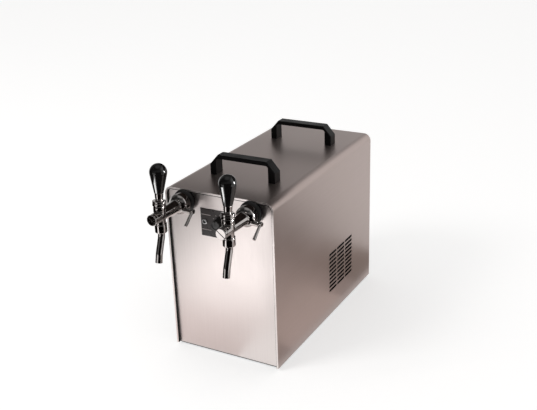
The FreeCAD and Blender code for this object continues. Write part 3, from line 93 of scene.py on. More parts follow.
def addNode(tree, kind, settings=None, links=None):
    node = tree.nodes.new(kind)
    for key, value in (settings or {}).items():
        if isinstance(key, int) or key in node.inputs:
            node.inputs[key].default_value = value
        else:
            setattr(node, key, value)
    for key, source in (links or {}).items():
        tree.links.new(source, node.inputs[key])
    return node


def newMaterial(name, surface):
    material = bpy.data.materials.new(name)
    material.use_nodes = True
    tree = material.node_tree
    shader = tree.nodes["Principled BSDF"]
    for key, value in surface.items():
        shader.inputs[key].default_value = value
    return material, tree, shader


# Object coordinates are metres in the row frame, so a scale of 1 / size gives one cell per size.
def sizedCoordinates(tree, sizes):
    place = addNode(tree, "ShaderNodeTexCoord")
    scale = tuple(1 / (s * mm) for s in sizes)
    return addNode(tree, "ShaderNodeMapping", {"Scale": scale}, {"Vector": place.outputs["Object"]})


greys = (0.3, 0.7)  # nearly all of a noise texture lies between these


# One texture sets both the colour and the gloss, so the paler spots are also the duller ones.
def mottled(tree, grey, tones, gloss):
    ramp = addNode(tree, "ShaderNodeValToRGB", {}, {"Fac": grey})
    for stop, place, tone in zip(ramp.color_ramp.elements, greys, tones):
        stop.position = place
        stop.color = hexColour(tone)
    duller = addNode(tree, "ShaderNodeMapRange", {"From Min": greys[0], "From Max": greys[1],
                                                  "To Min": gloss[0], "To Max": gloss[1]}, {"Value": grey})
    return ramp.outputs["Color"], duller.outputs["Result"]


# Eases the edges in the shading and lays a fine relief over the surface.
def addRelief(tree, shader, height, strength, depth, rounding):
    soft = addNode(tree, "ShaderNodeBevel", {"samples": 4, "Radius": rounding * mm})
    bump = addNode(tree, "ShaderNodeBump", {"Strength": strength, "Distance": depth * mm},
                   {"Height": height, "Normal": soft.outputs["Normal"]})
    tree.links.new(bump.outputs["Normal"], shader.inputs["Normal"])


# Stainless sheet, ground on a belt: fine parallel scratches that smear what it mirrors.
# The folded rim ahead of rimY is drawn in a paler tone: a painted highlight on the cover's front edge.
sheetLook = {
    "patch": 90,  # mm, slow clouds in its tone
    "lineShare": 0.6,
    "patchShare": 0.4,
    "spread": 0.05,  # of the roughness, either way
    "relief": 0.25,
    "depth": 0.02,  # mm
    # painted highlight: the pale tone of the cover's front rim
    "paintedRimHighlight": "#f2eae7",
}


def brushedSheet(name, tones, grain, roughness, rimY=None, look=sheetLook):
    material, tree, shader = newMaterial(name, {"Metallic": 1.0})
    lines = addNode(tree, "ShaderNodeTexNoise", {"Scale": 1.0, "Detail": 3.0},
                    {"Vector": sizedCoordinates(tree, grain).outputs["Vector"]})
    patches = addNode(tree, "ShaderNodeTexNoise", {"Scale": 1.0, "Detail": 2.0},
                      {"Vector": sizedCoordinates(tree, [look["patch"]] * 3).outputs["Vector"]})
    part = addNode(tree, "ShaderNodeMath", {"operation": "MULTIPLY", 1: look["patchShare"]},
                   {0: patches.outputs["Fac"]})
    both = addNode(tree, "ShaderNodeMath", {"operation": "MULTIPLY_ADD", 1: look["lineShare"]},
                   {0: lines.outputs["Fac"], 2: part.outputs[0]})
    colour, gloss = mottled(tree, both.outputs[0], tones,
                            (roughness - look["spread"], roughness + look["spread"]))
    # Painted highlight: ahead of rimY the colour is swapped for the pale rim tone.
    if rimY is not None:
        place = addNode(tree, "ShaderNodeSeparateXYZ", {},
                        {"Vector": addNode(tree, "ShaderNodeTexCoord").outputs["Object"]})
        rim = addNode(tree, "ShaderNodeMath", {"operation": "LESS_THAN", 1: rimY}, {0: place.outputs["Y"]})
        colour = addNode(tree, "ShaderNodeMix", {"data_type": "RGBA", 7: hexColour(look["paintedRimHighlight"])},
                         {0: rim.outputs[0], 6: colour}).outputs[2]
    tree.links.new(colour, shader.inputs["Base Color"])
    tree.links.new(gloss, shader.inputs["Roughness"])
    bump = addNode(tree, "ShaderNodeBump", {"Strength": look["relief"], "Distance": look["depth"] * mm},
                   {"Height": lines.outputs["Fac"]})
    tree.links.new(bump.outputs["Normal"], shader.inputs["Normal"])
    return material


# Bright metal or plating: smooth, with faint wiping marks in its gloss.
metalLook = {
    "wipeShape": 0.4,  # the marks' height to their width
    "spread": (0.7, 1.5),  # of the roughness
    "relief": 0.08,
    "depth": 0.02,  # mm
    "rounding": 0.35,  # mm
}


def polishedMetal(name, colour, roughness, wipe=6.0, look=metalLook):
    material, tree, shader = newMaterial(name, {"Metallic": 1.0, "Base Color": hexColour(colour)})
    size = (wipe, wipe, wipe * look["wipeShape"])
    marks = addNode(tree, "ShaderNodeTexNoise", {"Scale": 1.0, "Detail": 4.0},
                    {"Vector": sizedCoordinates(tree, size).outputs["Vector"]})
    low, high = look["spread"]
    gloss = addNode(tree, "ShaderNodeMapRange", {"From Min": greys[0], "From Max": greys[1],
                                                 "To Min": roughness * low, "To Max": roughness * high},
                    {"Value": marks.outputs["Fac"]})
    tree.links.new(gloss.outputs["Result"], shader.inputs["Roughness"])
    addRelief(tree, shader, marks.outputs["Fac"], look["relief"], look["depth"], look["rounding"])
    return material


# Moulded plastic, rubber, foam or enamel: a fine spark texture, and gloss that varies a little.
# Real spark texture is about 0.1 mm, too fine to show, so it is drawn 0.6 mm and up.
mouldLook = {
    "cloud": 25,  # mm
    "spread": (0.85, 1.15),  # of the roughness
    "relief": 0.3,
    "coatRoughness": 0.06,
    "rounding": 0.3,  # mm
}


def moulded(name, tones, roughness, grit, depth, coat=0.0, level=0.5, look=mouldLook):
    material, tree, shader = newMaterial(name, {
        "Coat Weight": coat, "Coat Roughness": look["coatRoughness"], "Specular IOR Level": level})
    spark = addNode(tree, "ShaderNodeTexNoise", {"Scale": 1.0, "Detail": 3.0},
                    {"Vector": sizedCoordinates(tree, [grit] * 3).outputs["Vector"]})
    cloud = addNode(tree, "ShaderNodeTexNoise", {"Scale": 1.0, "Detail": 2.0},
                    {"Vector": sizedCoordinates(tree, [look["cloud"]] * 3).outputs["Vector"]})
    low, high = look["spread"]
    colour, gloss = mottled(tree, cloud.outputs["Fac"], tones, (roughness * low, roughness * high))
    tree.links.new(colour, shader.inputs["Base Color"])
    tree.links.new(gloss, shader.inputs["Roughness"])
    addRelief(tree, shader, spark.outputs["Fac"], look["relief"], depth, look["rounding"])
    return material


# How far back from the cover's front the painted rim highlight reaches.
rimDepth = 0.5  # mm
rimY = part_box("cover")[0].y + rimDepth * mm

# The sheets' real scratches are about 0.1 mm wide, too fine for the photo, so they are drawn 0.8 to
# 1.2 mm wide.
finishes = {
    # ground front to back: a warm grey that smears its mirror images along the case, with a painted highlight
    # along its front rim
    "case_steel": brushedSheet("brushedStainlessCover", ("#ab9c96", "#b6a7a3"), (1.2, 150, 1.2), 0.36, rimY),
    # ground upright and paler: bright and soft, with upright streaks
    "front_steel": brushedSheet("brushedStainlessFront", ("#ebe2df", "#f2eae7"), (1.2, 1.2, 150), 0.4),
    # ground across: level streaks
    "rear_steel": brushedSheet("brushedStainlessRear", ("#a9a29d", "#b6b0ab"), (140, 0.8, 0.8), 0.34),
    # hot-dipped zinc: cool grey spangles about 9 and 7 mm across
    "tray_steel": brushedSheet("galvanisedSheet", ("#9aa0a4", "#b4b9bc"), (9, 9, 9), 0.45),
    "shroud_steel": brushedSheet("galvanisedShroud", ("#969ca0", "#aeb4b8"), (7, 7, 7), 0.45),
    # turned steel: small, slightly dull glints
    "screw_steel": polishedMetal("turnedSteel", "#b9b8b5", 0.28),
    # chromium over polished brass: a clear mirror, of about half the light
    "tap_chrome": polishedMetal("chromePlatedBrass", "#b4afad", 0.07),
    # bright chromium on a small ring: a clear pale circle
    "lamp_chrome": polishedMetal("chromeRing", "#d0d0d0", 0.10),
    # nickel: a warm white shine
    "pin_nickel": polishedMetal("nickelPlatedPins", "#cfc9bd", 0.15),
    # turned brass: yellow and a little dull
    "shank_brass": polishedMetal("turnedBrass", "#c9a85c", 0.22),
    # ground stainless: an even satin shine
    "valve_steel": polishedMetal("groundStainless", "#b5b3b0", 0.2),
    # drawn tube: a soft streak of light along it
    "line_steel": polishedMetal("drawnStainlessTube", "#b0aeac", 0.25),
    # drawn copper: the same streak in red
    "copper_pipe": polishedMetal("drawnCopper", "#c98a66", 0.25),
    # sand-cast aluminium: a broad dull sheen with small marks
    "block_aluminium": polishedMetal("castAluminium", "#bcbdbf", 0.42, wipe=3.0),
    # fins dipped in black lacquer: matt black behind the slots
    "coil_aluminium": moulded("blackCoatedFins", ("#131313", "#1b1b1b"), 0.5, 1.2, 0.04),
    # moulded rubber: black without a glint
    "feet_rubber": moulded("matRubber", ("#1b1a1a", "#232222"), 0.75, 0.6, 0.05),
    # satin nylon: deep black with only a dull light on its edges
    "bow_plastic": moulded("satinNylon", ("#070606", "#0d0c0c"), 0.44, 0.7, 0.04, level=0.17),
    # polycarbonate film printed from behind: flat dark brown with a soft gloss
    "plate_print": moulded("printedPolycarbonateFilm", ("#2b2524", "#332c2b"), 0.3, 0.8, 0.02),
    # ABS from a polished mould: a small clear glint
    "knob_plastic": moulded("glossyAbsKnob", ("#171616", "#201f1e"), 0.22, 1.2, 0.02),
    # buffed phenolic: nearly black, with sharp small highlights and a slow waviness
    "handle_plastic": moulded("polishedPhenolic", ("#0a0909", "#100f0f"), 0.08, 4.0, 0.01, level=0.6),
    # satin ABS: a soft light round the rim
    "rosette_plastic": moulded("satinAbsRosette", ("#141313", "#1d1b1b"), 0.36, 0.8, 0.03),
    # tinted acrylic, unlit: dark and wet-looking
    "lamp_lens": moulded("tintedAcrylicLens", ("#191c1b", "#262b29"), 0.12, 3.0, 0.01, coat=0.5),
    # grey nylon: plain and dull
    "thermostat_plastic": moulded("greyNylon", ("#8a8986", "#949390"), 0.5, 0.8, 0.03),
    # foamed beads of about 3 mm: matt cream with a lumpy skin
    "jacket_foam": moulded("polystyreneFoam", ("#d9d5c8", "#e6e2d6"), 0.8, 3.0, 0.4),
    # white acetal: waxy
    "valve_plastic": moulded("whiteAcetal", ("#dedcd5", "#e9e7e0"), 0.35, 1.0, 0.02),
    # grey acetal: waxy too
    "inlet_plastic": moulded("greyAcetal", ("#8d8c89", "#9a9996"), 0.36, 0.9, 0.03),
    # black nylon: dull, with visible spark texture
    "socket_plastic": moulded("blackNylon", ("#191818", "#222121"), 0.5, 0.7, 0.04),
    # ABS from a polished mould, as on the knob
    "rocker_plastic": moulded("glossyAbsRocker", ("#151414", "#1c1b1b"), 0.2, 1.2, 0.02),
    # stoved enamel: black under a thin clear shine
    "compressor_paint": moulded("blackEnamel", ("#121212", "#1a1a1a"), 0.28, 1.6, 0.04, coat=0.3),
    # stoved enamel: grey and half gloss
    "motor_paint": moulded("greyEnamel", ("#4b4c4e", "#57585a"), 0.35, 1.4, 0.04),
    # nylon with glass fibre: charcoal and dull
    "fan_plastic": moulded("blackFanNylon", ("#202020", "#292929"), 0.5, 0.8, 0.04),
}


def dressFrame():
    slots = {row["node"]: row["material_slot"] for row in frame["record"]["subparts"]}
    for node, item in frame["nodes"].items():
        item.data.materials.clear()
        item.data.materials.append(finishes[slots[node]])


dressFrame()
print("materials:", len(finishes))


# A pale room. Matt surfaces get plain light from all round, and mirrors see the room darker overhead
# and on the photographer's side.
studio = {
    "backdrop": 1.0,  # the white that the camera and the mirrors see
    "ceiling": 0.16,  # how much of it is left overhead, in mirrors
    "ceilingSpan": (0.36, 0.74),  # how far up a mirrored ray points where it starts and stops fading
    "lean": 0.5,  # how much higher the bright wall reaches on the right
    "front": 0.16,  # how much is left on the photographer's side, in mirrors
    "frontSpan": (-0.25, 0.2),  # how far back a mirrored ray points where it starts and stops rising
    "overhead": 0.4,  # a soft screen straight above, which level faces mirror when seen from above
    "overheadSpan": (0.84, 0.95),
    "fill": 0.6,  # the plain light on matt surfaces
}


def makeRoom(settings):
    bpy.context.scene.view_settings.view_transform = "Standard"
    world = bpy.data.worlds.new("paleStudio")
    world.use_nodes = True
    bpy.context.scene.world = world
    tree = world.node_tree
    background = tree.nodes["Background"]
    ray = addNode(tree, "ShaderNodeLightPath")
    seen = addNode(tree, "ShaderNodeMath", {"operation": "MAXIMUM"},
                   {0: ray.outputs["Is Glossy Ray"], 1: ray.outputs["Is Transmission Ray"]})
    place = addNode(tree, "ShaderNodeTexCoord")
    way = addNode(tree, "ShaderNodeSeparateXYZ", {}, {"Vector": place.outputs["Generated"]})
    lean = addNode(tree, "ShaderNodeMath", {"operation": "MULTIPLY_ADD", 1: -settings["lean"]},
                   {0: way.outputs["X"], 2: way.outputs["Z"]})
    low, high = settings["ceilingSpan"]
    dome = addNode(tree, "ShaderNodeMapRange",
                   {"From Min": low, "From Max": high, "To Min": settings["backdrop"],
                    "To Max": settings["ceiling"]}, {"Value": lean.outputs[0]})
    low, high = settings["frontSpan"]
    front = addNode(tree, "ShaderNodeMapRange",
                    {"From Min": low, "From Max": high, "To Min": settings["front"], "To Max": 1.0},
                    {"Value": way.outputs["Y"]})
    walls = addNode(tree, "ShaderNodeMath", {"operation": "MULTIPLY"},
                    {0: dome.outputs["Result"], 1: front.outputs["Result"]})
    low, high = settings["overheadSpan"]
    overhead = addNode(tree, "ShaderNodeMapRange",
                       {"From Min": low, "From Max": high, "To Min": 0.0, "To Max": settings["overhead"]},
                       {"Value": way.outputs["Z"]})
    room = addNode(tree, "ShaderNodeMath", {"operation": "MAXIMUM"},
                   {0: walls.outputs[0], 1: overhead.outputs["Result"]})
    mirrored = addNode(tree, "ShaderNodeMix", {"data_type": "FLOAT", 2: settings["fill"]},
                       {0: seen.outputs[0], 3: room.outputs[0]})
    strength = addNode(tree, "ShaderNodeMix", {"data_type": "FLOAT", 3: settings["backdrop"]},
                       {0: ray.outputs["Is Camera Ray"], 2: mirrored.outputs[0]})
    background.inputs["Color"].default_value = (1, 1, 1, 1)
    tree.links.new(strength.outputs[0], background.inputs["Strength"])


# The key lamp is broad and doesn't show in mirrors. The side lamp is the dot on the black knobs and
# the strip lamp is the streak down their left, and both are turned on the taps' pieces alone, further down.
lamps = {
    "key": {"place": (-1.6, -2.2, 2.6), "aim": (0, 0, 0.2), "size": (1.2, 1.2), "power": 34,
            "mirrored": False},
    "side": {"place": (2.4, 1.2, 0.62), "aim": (0, -0.2, 0.35), "size": (0.5, 0.9), "power": 75,
             "mirrored": True},
    "strip": {"place": (-0.31, -0.61, 0.02), "aim": (0, -0.26, 0.375), "size": (0.26, 0.18), "power": 1.9,
              "mirrored": True},
}


def makeLamps(rows):
    for name, row in rows.items():
        data = bpy.data.lights.new(name + "Lamp", "AREA")
        data.shape = "RECTANGLE"
        data.size, data.size_y = row["size"]
        data.energy = row["power"]
        item = bpy.data.objects.new(name + "Lamp", data)
        item.visible_camera = False
        item.visible_glossy = row["mirrored"]
        item.location = row["place"]
        item.rotation_euler = (Vector(row["aim"]) - item.location).to_track_quat("-Z", "Y").to_euler()
        bpy.context.scene.collection.objects.link(item)


def flatCard(name, corners):
    mesh = bpy.data.meshes.new(name)
    mesh.from_pydata(corners, [], [range(len(corners))])
    item = bpy.data.objects.new(name, mesh)
    bpy.context.scene.collection.objects.link(item)
    return item


# Matt paper, lifted to white for the camera and for mirrors, which still takes the object's shadow.
floor = {"reach": 12, "tone": "#dcdbda", "lift": 0.5, "roughness": 0.9, "gloss": 0.1}


def makeFloor(settings):
    reach = settings["reach"]
    card = flatCard("floor", [(-reach, -reach, 0), (reach, -reach, 0), (reach, reach, 0), (-reach, reach, 0)])
    paper, tree, shader = newMaterial("palePaper", {
        "Base Color": hexColour(settings["tone"]), "Roughness": settings["roughness"],
        "Specular IOR Level": settings["gloss"], "Emission Color": (1, 1, 1, 1)})
    ray = addNode(tree, "ShaderNodeLightPath")
    seen = addNode(tree, "ShaderNodeMath", {"operation": "MAXIMUM"},
                   {0: ray.outputs["Is Camera Ray"], 1: ray.outputs["Is Glossy Ray"]})
    lift = addNode(tree, "ShaderNodeMath", {"operation": "MULTIPLY", 1: settings["lift"]},
                   {0: seen.outputs[0]})
    tree.links.new(lift.outputs[0], shader.inputs["Emission Strength"])
    card.data.materials.append(paper)


# Boards and mats that only mirrors see, as a product photographer sets round chrome. A board stands on
# two corners in plan, from its foot to its top. A mat lies flat, lift mm above the floor.
# The dark ones give the chrome its black parts. The others set how bright the case's sheets look.
boards = {
    "boardAhead": {"plan": [(-0.05, -0.74), (0.55, -0.40)], "foot": 0.01, "top": 0.52, "tone": "#120e0c"},
    "boardLeft": {"plan": [(-0.5, -0.78), (-0.47, -0.2)], "foot": 0.01, "top": 0.52, "tone": "#120e0c"},
    "matAhead": {"plan": [(0.07, -0.34), (0.9, -0.25), (1.3, -1.6), (-0.48, -1.6)], "tone": "#120e0c"},
    "matLeft": {"plan": [(-0.36, -0.30), (-0.44, -0.96), (-0.62, -1.6), (-1.3, -1.6), (-1.3, 0), (-0.45, 0)],
                "tone": "#120e0c"},
    "matSide": {"plan": [(0.13, -0.32), (0.8, -0.2), (0.8, 0.42), (0.13, 0.3)], "tone": "#d6cbc7",
                "glow": 0.26},  # the side's even grey
    "matBehind": {"plan": [(0.13, 0.22), (0.32, 0.26), (0.32, 0.42), (0.13, 0.38)], "tone": "#b5a9a2",
                  "glow": 0.22, "lift": 2},  # the side's lower far end
    "matMiddle": {"plan": [(0.13, -0.10), (0.25, -0.06), (0.25, 0.18), (0.13, 0.14)], "tone": "#e0d5d0",
                  "glow": 0.56, "lift": 2},  # the side's paler lower middle
    "matFar": {"plan": [(0.48, 0.24), (0.62, 0.22), (1.35, 0.95), (1.2, 1.35), (0.62, 0.62)],
               "tone": "#3a3533"},  # the barrels' dark right sides
    "matBack": {"plan": [(0.36, 0.22), (0.62, 0.22), (0.62, 0.56), (0.38, 0.52)], "tone": "#7c716d",
                "lift": 2},
    "matNear": {"plan": [(-0.34, -0.18), (0.02, -0.18), (0.0, -0.36), (-0.36, -0.36)], "tone": "#d8cfcd",
                "glow": 0.45},  # the front panel's greyer foot
    "boardOver": {"plan": [(-0.25, 0.02), (0.45, 0.02)], "foot": 0.425, "top": 0.68,
                  "tone": "#2a2321"},  # the barrels' dark upper sides
    "lane": {"plan": [(-0.20, -0.38), (-0.02, -0.38), (-0.25, -1.25), (-0.60, -1.25)], "tone": "#fdfbfb",
             "glow": 1.13, "lift": 2},  # the front panel's bright middle
}


def makeBoards(rows):
    for name, row in rows.items():
        plan = row["plan"]
        if "top" in row:
            corners = [(*plan[0], row["foot"]), (*plan[1], row["foot"]), (*plan[1], row["top"]),
                       (*plan[0], row["top"])]
        else:
            corners = [(x, y, row.get("lift", 1) * mm) for x, y in plan]
        item = flatCard(name, corners)
        paint = newMaterial(name + "Paint", {
            "Base Color": hexColour(row["tone"]), "Roughness": 1.0, "Specular IOR Level": 0.0,
            "Emission Color": hexColour(row["tone"]), "Emission Strength": row.get("glow", 0)})[0]
        item.data.materials.append(paint)
        item.visible_camera = item.visible_diffuse = item.visible_shadow = item.visible_transmission = False


makeRoom(studio)
makeLamps(lamps)
makeFloor(floor)
makeBoards(boards)
print("studio set")


# From here on, profiles, paths and sizes are in mm, and a place is in metres in the row frame.
sharpAngle = 32  # degrees; a flatter edge is shaded smooth


def keepMesh(name, mesh, body, slot):
    item = bpy.data.objects.new(name, mesh)
    bpy.context.scene.collection.objects.link(item)
    for face in mesh.polygons:
        face.use_smooth = True
    mesh.set_sharp_from_angle(angle=math.radians(sharpAngle))
    mesh.materials.append(finishes[slot])
    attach(item, body)
    return item


longestTrim = 0.45  # of a side's length, so that two eased corners never meet


def soften(profile, radius, steps=4):  # eases the corners of a profile
    points = []
    for n, point in enumerate(profile):
        here = Vector(point)
        if n in (0, len(profile) - 1):
            points.append(here)
            continue
        before, after = Vector(profile[n - 1]) - here, Vector(profile[n + 1]) - here
        trim = min(radius, longestTrim * before.length, longestTrim * after.length)
        first, last = here + before.normalized() * trim, here + after.normalized() * trim
        for step in range(steps + 1):
            t = step / steps
            points.append(first.lerp(here, t).lerp(here.lerp(last, t), t))
    return points


def arcPoints(centre, radius, start, end, steps=16):  # degrees, up from the outward axis
    turns = [math.radians(start + (end - start) * n / steps) for n in range(steps + 1)]
    return [(centre[0] + radius * math.cos(a), centre[1] + radius * math.sin(a)) for a in turns]


def groovePoints(edge, offsets):  # a groove beside an edge, as steps outward and upward from it
    return [(edge[0] + outward, edge[1] + upward) for outward, upward in offsets]


facings = {
    "up": Matrix.Identity(3),
    "ahead": Matrix.Rotation(math.radians(90), 3, "X"),  # towards the user
    "across": Matrix.Rotation(math.radians(90), 3, "Y"),  # to the right
}
onAxis = 1e-6  # mm, a radius this small is a point on the axis


# Turns (radius, height) corners about an axis through place, which may lean to or from the user.
# A closed profile runs back to its start, and leaves a hole along the axis.
def turned(profile, place, facing="up", steps=72, closed=False, tilt=0.0):
    mesh = bmesh.new()
    rings = []
    for radius, height in profile:
        if radius < onAxis:
            rings.append([mesh.verts.new((0, 0, height * mm))])
            continue
        angles = [2 * math.pi * n / steps for n in range(steps)]
        rings.append([mesh.verts.new((radius * mm * math.cos(a), radius * mm * math.sin(a), height * mm))
                      for a in angles])
    pairs = list(zip(rings, rings[1:] + rings[:1])) if closed else list(zip(rings, rings[1:]))
    for low, high in pairs:
        for n in range(steps):
            corners = [low[n % len(low)], low[(n + 1) % len(low)],
                       high[(n + 1) % len(high)], high[n % len(high)]]
            unique = list(dict.fromkeys(corners))
            if len(unique) > 2:
                mesh.faces.new(unique)
    spin = Matrix.Rotation(math.radians(tilt), 3, "X") @ facings[facing]
    bmesh.ops.transform(mesh, matrix=Matrix.Translation(place) @ spin.to_4x4(), verts=mesh.verts)
    bmesh.ops.recalc_face_normals(mesh, faces=mesh.faces)
    return mesh


def block(low, high, place, turn=None):
    mesh = bmesh.new()
    bmesh.ops.create_cube(mesh, size=1)
    low, high = Vector(low) * mm, Vector(high) * mm
    for v in mesh.verts:
        v.co = Vector([(low[n] + high[n]) / 2 + v.co[n] * (high[n] - low[n]) for n in range(3)])
    if turn is not None:
        bmesh.ops.transform(mesh, matrix=turn.to_4x4(), verts=mesh.verts)
    bmesh.ops.translate(mesh, vec=place, verts=mesh.verts)
    return mesh


# Sweeps a ring along a path that lies in a plane across X, given as (y, z) from place.
def swept(path, radius, bore, place, steps=48):
    mesh = bmesh.new()
    points = [Vector((0, y * mm, z * mm)) for y, z in path]
    right = Vector((1, 0, 0))
    walls = []
    for size in (radius, bore):
        rings = []
        for n, point in enumerate(points):
            along = (points[min(n + 1, len(points) - 1)] - points[max(n - 1, 0)]).normalized()
            side = right.cross(along)
            angles = [2 * math.pi * k / steps for k in range(steps)]
            middle = Vector(place) + point
            rings.append([mesh.verts.new(middle + size * mm * (right * math.cos(a) + side * math.sin(a)))
                          for a in angles])
        for low, high in zip(rings, rings[1:]):
            for k in range(steps):
                mesh.faces.new((low[k], low[(k + 1) % steps], high[(k + 1) % steps], high[k]))
        walls.append(rings)
    for end in (0, -1):
        outer, inner = walls[0][end], walls[1][end]
        for k in range(steps):
            mesh.faces.new((outer[k], outer[(k + 1) % steps], inner[(k + 1) % steps], inner[k]))
    bmesh.ops.recalc_face_normals(mesh, faces=mesh.faces)
    return mesh


def asMesh(name, shape):
    mesh = bpy.data.meshes.new(name)
    shape.to_mesh(mesh)
    shape.free()
    return mesh


def asShape(mesh):
    shape = bmesh.new()
    shape.from_mesh(mesh)
    bpy.data.meshes.remove(mesh)
    return shape


# Adds or cuts solids one after another, and returns one clean mesh.
def combined(name, base, others, operation="UNION"):
    scene = bpy.context.scene
    item = bpy.data.objects.new("work", asMesh(name, base))
    scene.collection.objects.link(item)
    tools = []
    for other in others:
        tool = bpy.data.objects.new("tool", asMesh("tool", other))
        scene.collection.objects.link(tool)
        step = item.modifiers.new("step", "BOOLEAN")
        step.operation = operation
        step.solver = "EXACT"
        step.object = tool
        tools.append(tool)
    made = bpy.data.meshes.new_from_object(item.evaluated_get(bpy.context.evaluated_depsgraph_get()))
    made.name = name
    for thing in [item] + tools:
        data = thing.data
        bpy.data.objects.remove(thing)
        bpy.data.meshes.remove(data)
    return made


def joined(name, shapes):  # several shapes in one mesh, left apart
    whole = bmesh.new()
    for shape in shapes:
        part = asMesh("part", shape)
        whole.from_mesh(part)
        bpy.data.meshes.remove(part)
    return asMesh(name, whole)


# Where each tap is, from its joints and from the front panel's face.
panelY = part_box("front_panel")[0].y
pivotOf = {j["name"]: Vector(j["pos_m"]) for j in frame["joints"] if "pos_m" in j}
tapAxisDrop = 15  # from the lever's pivot down to the barrel's axis
leverLean = -4.7  # degrees, away from the user, as the levers rest
sides = ("left", "right")


def tapPlace(side):  # where the barrel's axis meets the panel
    pivot = pivotOf[f"tap_lever_{side}"]
    return Vector((pivot.x, panelY, pivot.z - tapAxisDrop * mm))


# The black knob: a ball whose flanks run down straight to a narrow foot. Heights are from the pivot.
knob = {"foot": 28, "base": 8.5, "ball": 16, "top": 82, "flank": 11.6, "edge": 0.8}


def makeKnob(side, s):
    centre = s["top"] - s["ball"]
    crown = arcPoints((0, centre), s["ball"], -s["flank"], 90, 28)
    foot = soften([(0, s["foot"]), (s["base"], s["foot"])] + crown[:1], s["edge"])[:-1]
    profile = foot + crown[:-1] + [(0, s["top"])]
    shape = turned(profile, pivotOf[f"tap_lever_{side}"], tilt=leverLean, steps=96)
    item = keepMesh(f"knob_{side}", asMesh("knob", shape), f"tap_lever_{side}", "handle_plastic")
    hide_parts(f"tap_handle_{side}")


# The chromed ferrule under it widens upward, above a thin groove.
ferrule = {"foot": 14, "top": 28, "base": 7, "head": 8, "land": 1.2, "edge": 0.4,
           "groove": [(0.1, 2.2), (-0.5, 2.6), (-0.4, 3.4), (0.2, 3.8)]}


def makeFerrule(side, s):
    profile = [(0, s["foot"]), (s["base"], s["foot"])] + groovePoints((s["base"], s["foot"]), s["groove"])
    profile += [(s["head"], s["top"] - s["land"]), (s["head"], s["top"]), (0, s["top"])]
    shape = turned(soften(profile, s["edge"]), pivotOf[f"tap_lever_{side}"], tilt=leverLean)
    item = keepMesh(f"ferrule_{side}", asMesh("ferrule", shape), f"tap_lever_{side}", "tap_chrome")
    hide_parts(f"handle_ferrule_{side}")


# The stem in one piece: the arm's round end that drives the valve, the ball it turns on, a neck,
# and the hollow cap that hides the bonnet.
cap = {
    "arm": [(0, -18), (2, -17.3), (3, -15), (2, -12.8), (2, -7.7)],
    "ball": 8, "ballFrom": -75.5, "ballTo": 64,  # mm, degrees, degrees
    "neck": 3.5, "neckTop": 11.1,
    "hollow": 11.65, "hollowFrom": 72,  # mm, degrees
    "rise": 5, "radius": 12.5, "top": 14, "edge": 0.7,
    "groove": [(0, -4.6), (-0.9, -4.2), (-0.9, -3.4), (0, -3)],
}


def makeCap(side, s):
    rim = math.sqrt(s["hollow"] ** 2 - s["rise"] ** 2)
    hollow = arcPoints((0, 0), s["hollow"], s["hollowFrom"], math.degrees(math.atan2(s["rise"], rim)), 14)
    profile = s["arm"] + arcPoints((0, 0), s["ball"], s["ballFrom"], s["ballTo"])
    profile += [(s["neck"], s["neckTop"])] + hollow
    edge = (s["radius"], s["top"])
    profile += soften([hollow[-1], (s["radius"], s["rise"])] + groovePoints(edge, s["groove"]) +
                      [edge, (0, s["top"])], s["edge"])
    shape = turned(profile, pivotOf[f"tap_lever_{side}"], tilt=leverLean)
    item = keepMesh(f"cap_{side}", asMesh("cap", shape), f"tap_lever_{side}", "tap_chrome")
    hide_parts(f"lever_stem_{side}")


for side in sides:
    makeKnob(side, knob)
    makeFerrule(side, ferrule)
    makeCap(side, cap)
print("levers made")


# Black rosettes on the panel, stepped at the back and bevelled in front.
rosette = {"bore": 10.8, "back": 19, "ledge": 6.3, "radius": 22.5, "thick": 14, "bevel": (3.4, 3.6),
           "edge": 1.2}


def makeRosettes(s):
    inward, backward = s["bevel"]
    profile = soften([(s["bore"], 0), (s["back"], 0), (s["back"], s["ledge"]), (s["radius"], s["ledge"]),
                      (s["radius"], s["thick"] - backward), (s["radius"] - inward, s["thick"]),
                      (s["bore"], s["thick"])], s["edge"], 5)
    shapes = [turned(profile, tapPlace(side), "ahead", 96, closed=True) for side in sides]
    item = keepMesh("rosettes", joined("rosettes", shapes), "case", "rosette_plastic")
    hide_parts("tap_rosettes")


# The flow housing: a wide drum with a rounded shoulder, and on its right the sleeve of the flow lever.
housing = {"radius": 19.5, "end": 36, "shoulder": 6.5, "throat": 13.6, "edge": 3.2,
           "sleeve": 5, "sleeveFrom": 8, "sleeveTo": 27, "sleeveAt": 29, "sleeveDrop": 8, "sleeveEdge": 0.5}

# The barrel runs on from it, with a neck on top for the bonnet and a boss below for the spout.
barrel = {"radius": 13, "collar": 2.5, "step": 0.7, "waist": 11, "waistAt": 73, "chest": 10.5, "end": 104,
          "edge": 1.0, "valveAt": 85.5, "neck": 11, "neckTop": 9, "boss": 10, "bossDrop": 14, "neckEdge": 0.3,
          "seatGap": 0.3, "seatTop": 20}

# The domed bonnet on the neck holds the lever's ball. The lips' angles are up from the ball's middle.
bonnet = {"radius": 11.35, "socket": 8.3, "outerLip": 45.2, "innerLip": 38.4, "edge": 0.35,
          "groove": [(0, 1.8), (-0.6, 2.2), (-0.6, 2.8), (0, 3.2)]}


def makeHousing(side, s):
    place = tapPlace(side)
    start = rosette["thick"]
    drum = soften([(0, start), (s["radius"], start), (s["radius"], s["end"] - s["shoulder"]),
                   (s["throat"], s["end"]), (0, s["end"])], s["edge"], 8)
    rod = soften([(0, s["sleeveFrom"]), (s["sleeve"], s["sleeveFrom"]), (s["sleeve"], s["sleeveTo"]),
                  (0, s["sleeveTo"])], s["sleeveEdge"])
    sleeve = turned(rod, place + Vector((0, -s["sleeveAt"] * mm, -s["sleeveDrop"] * mm)), "across", 48)
    whole = combined("housing", turned(drum, place, "ahead", 96), [sleeve])
    item = keepMesh(f"housing_{side}", whole, "case", "tap_chrome")
    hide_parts(f"flow_housing_{side}")


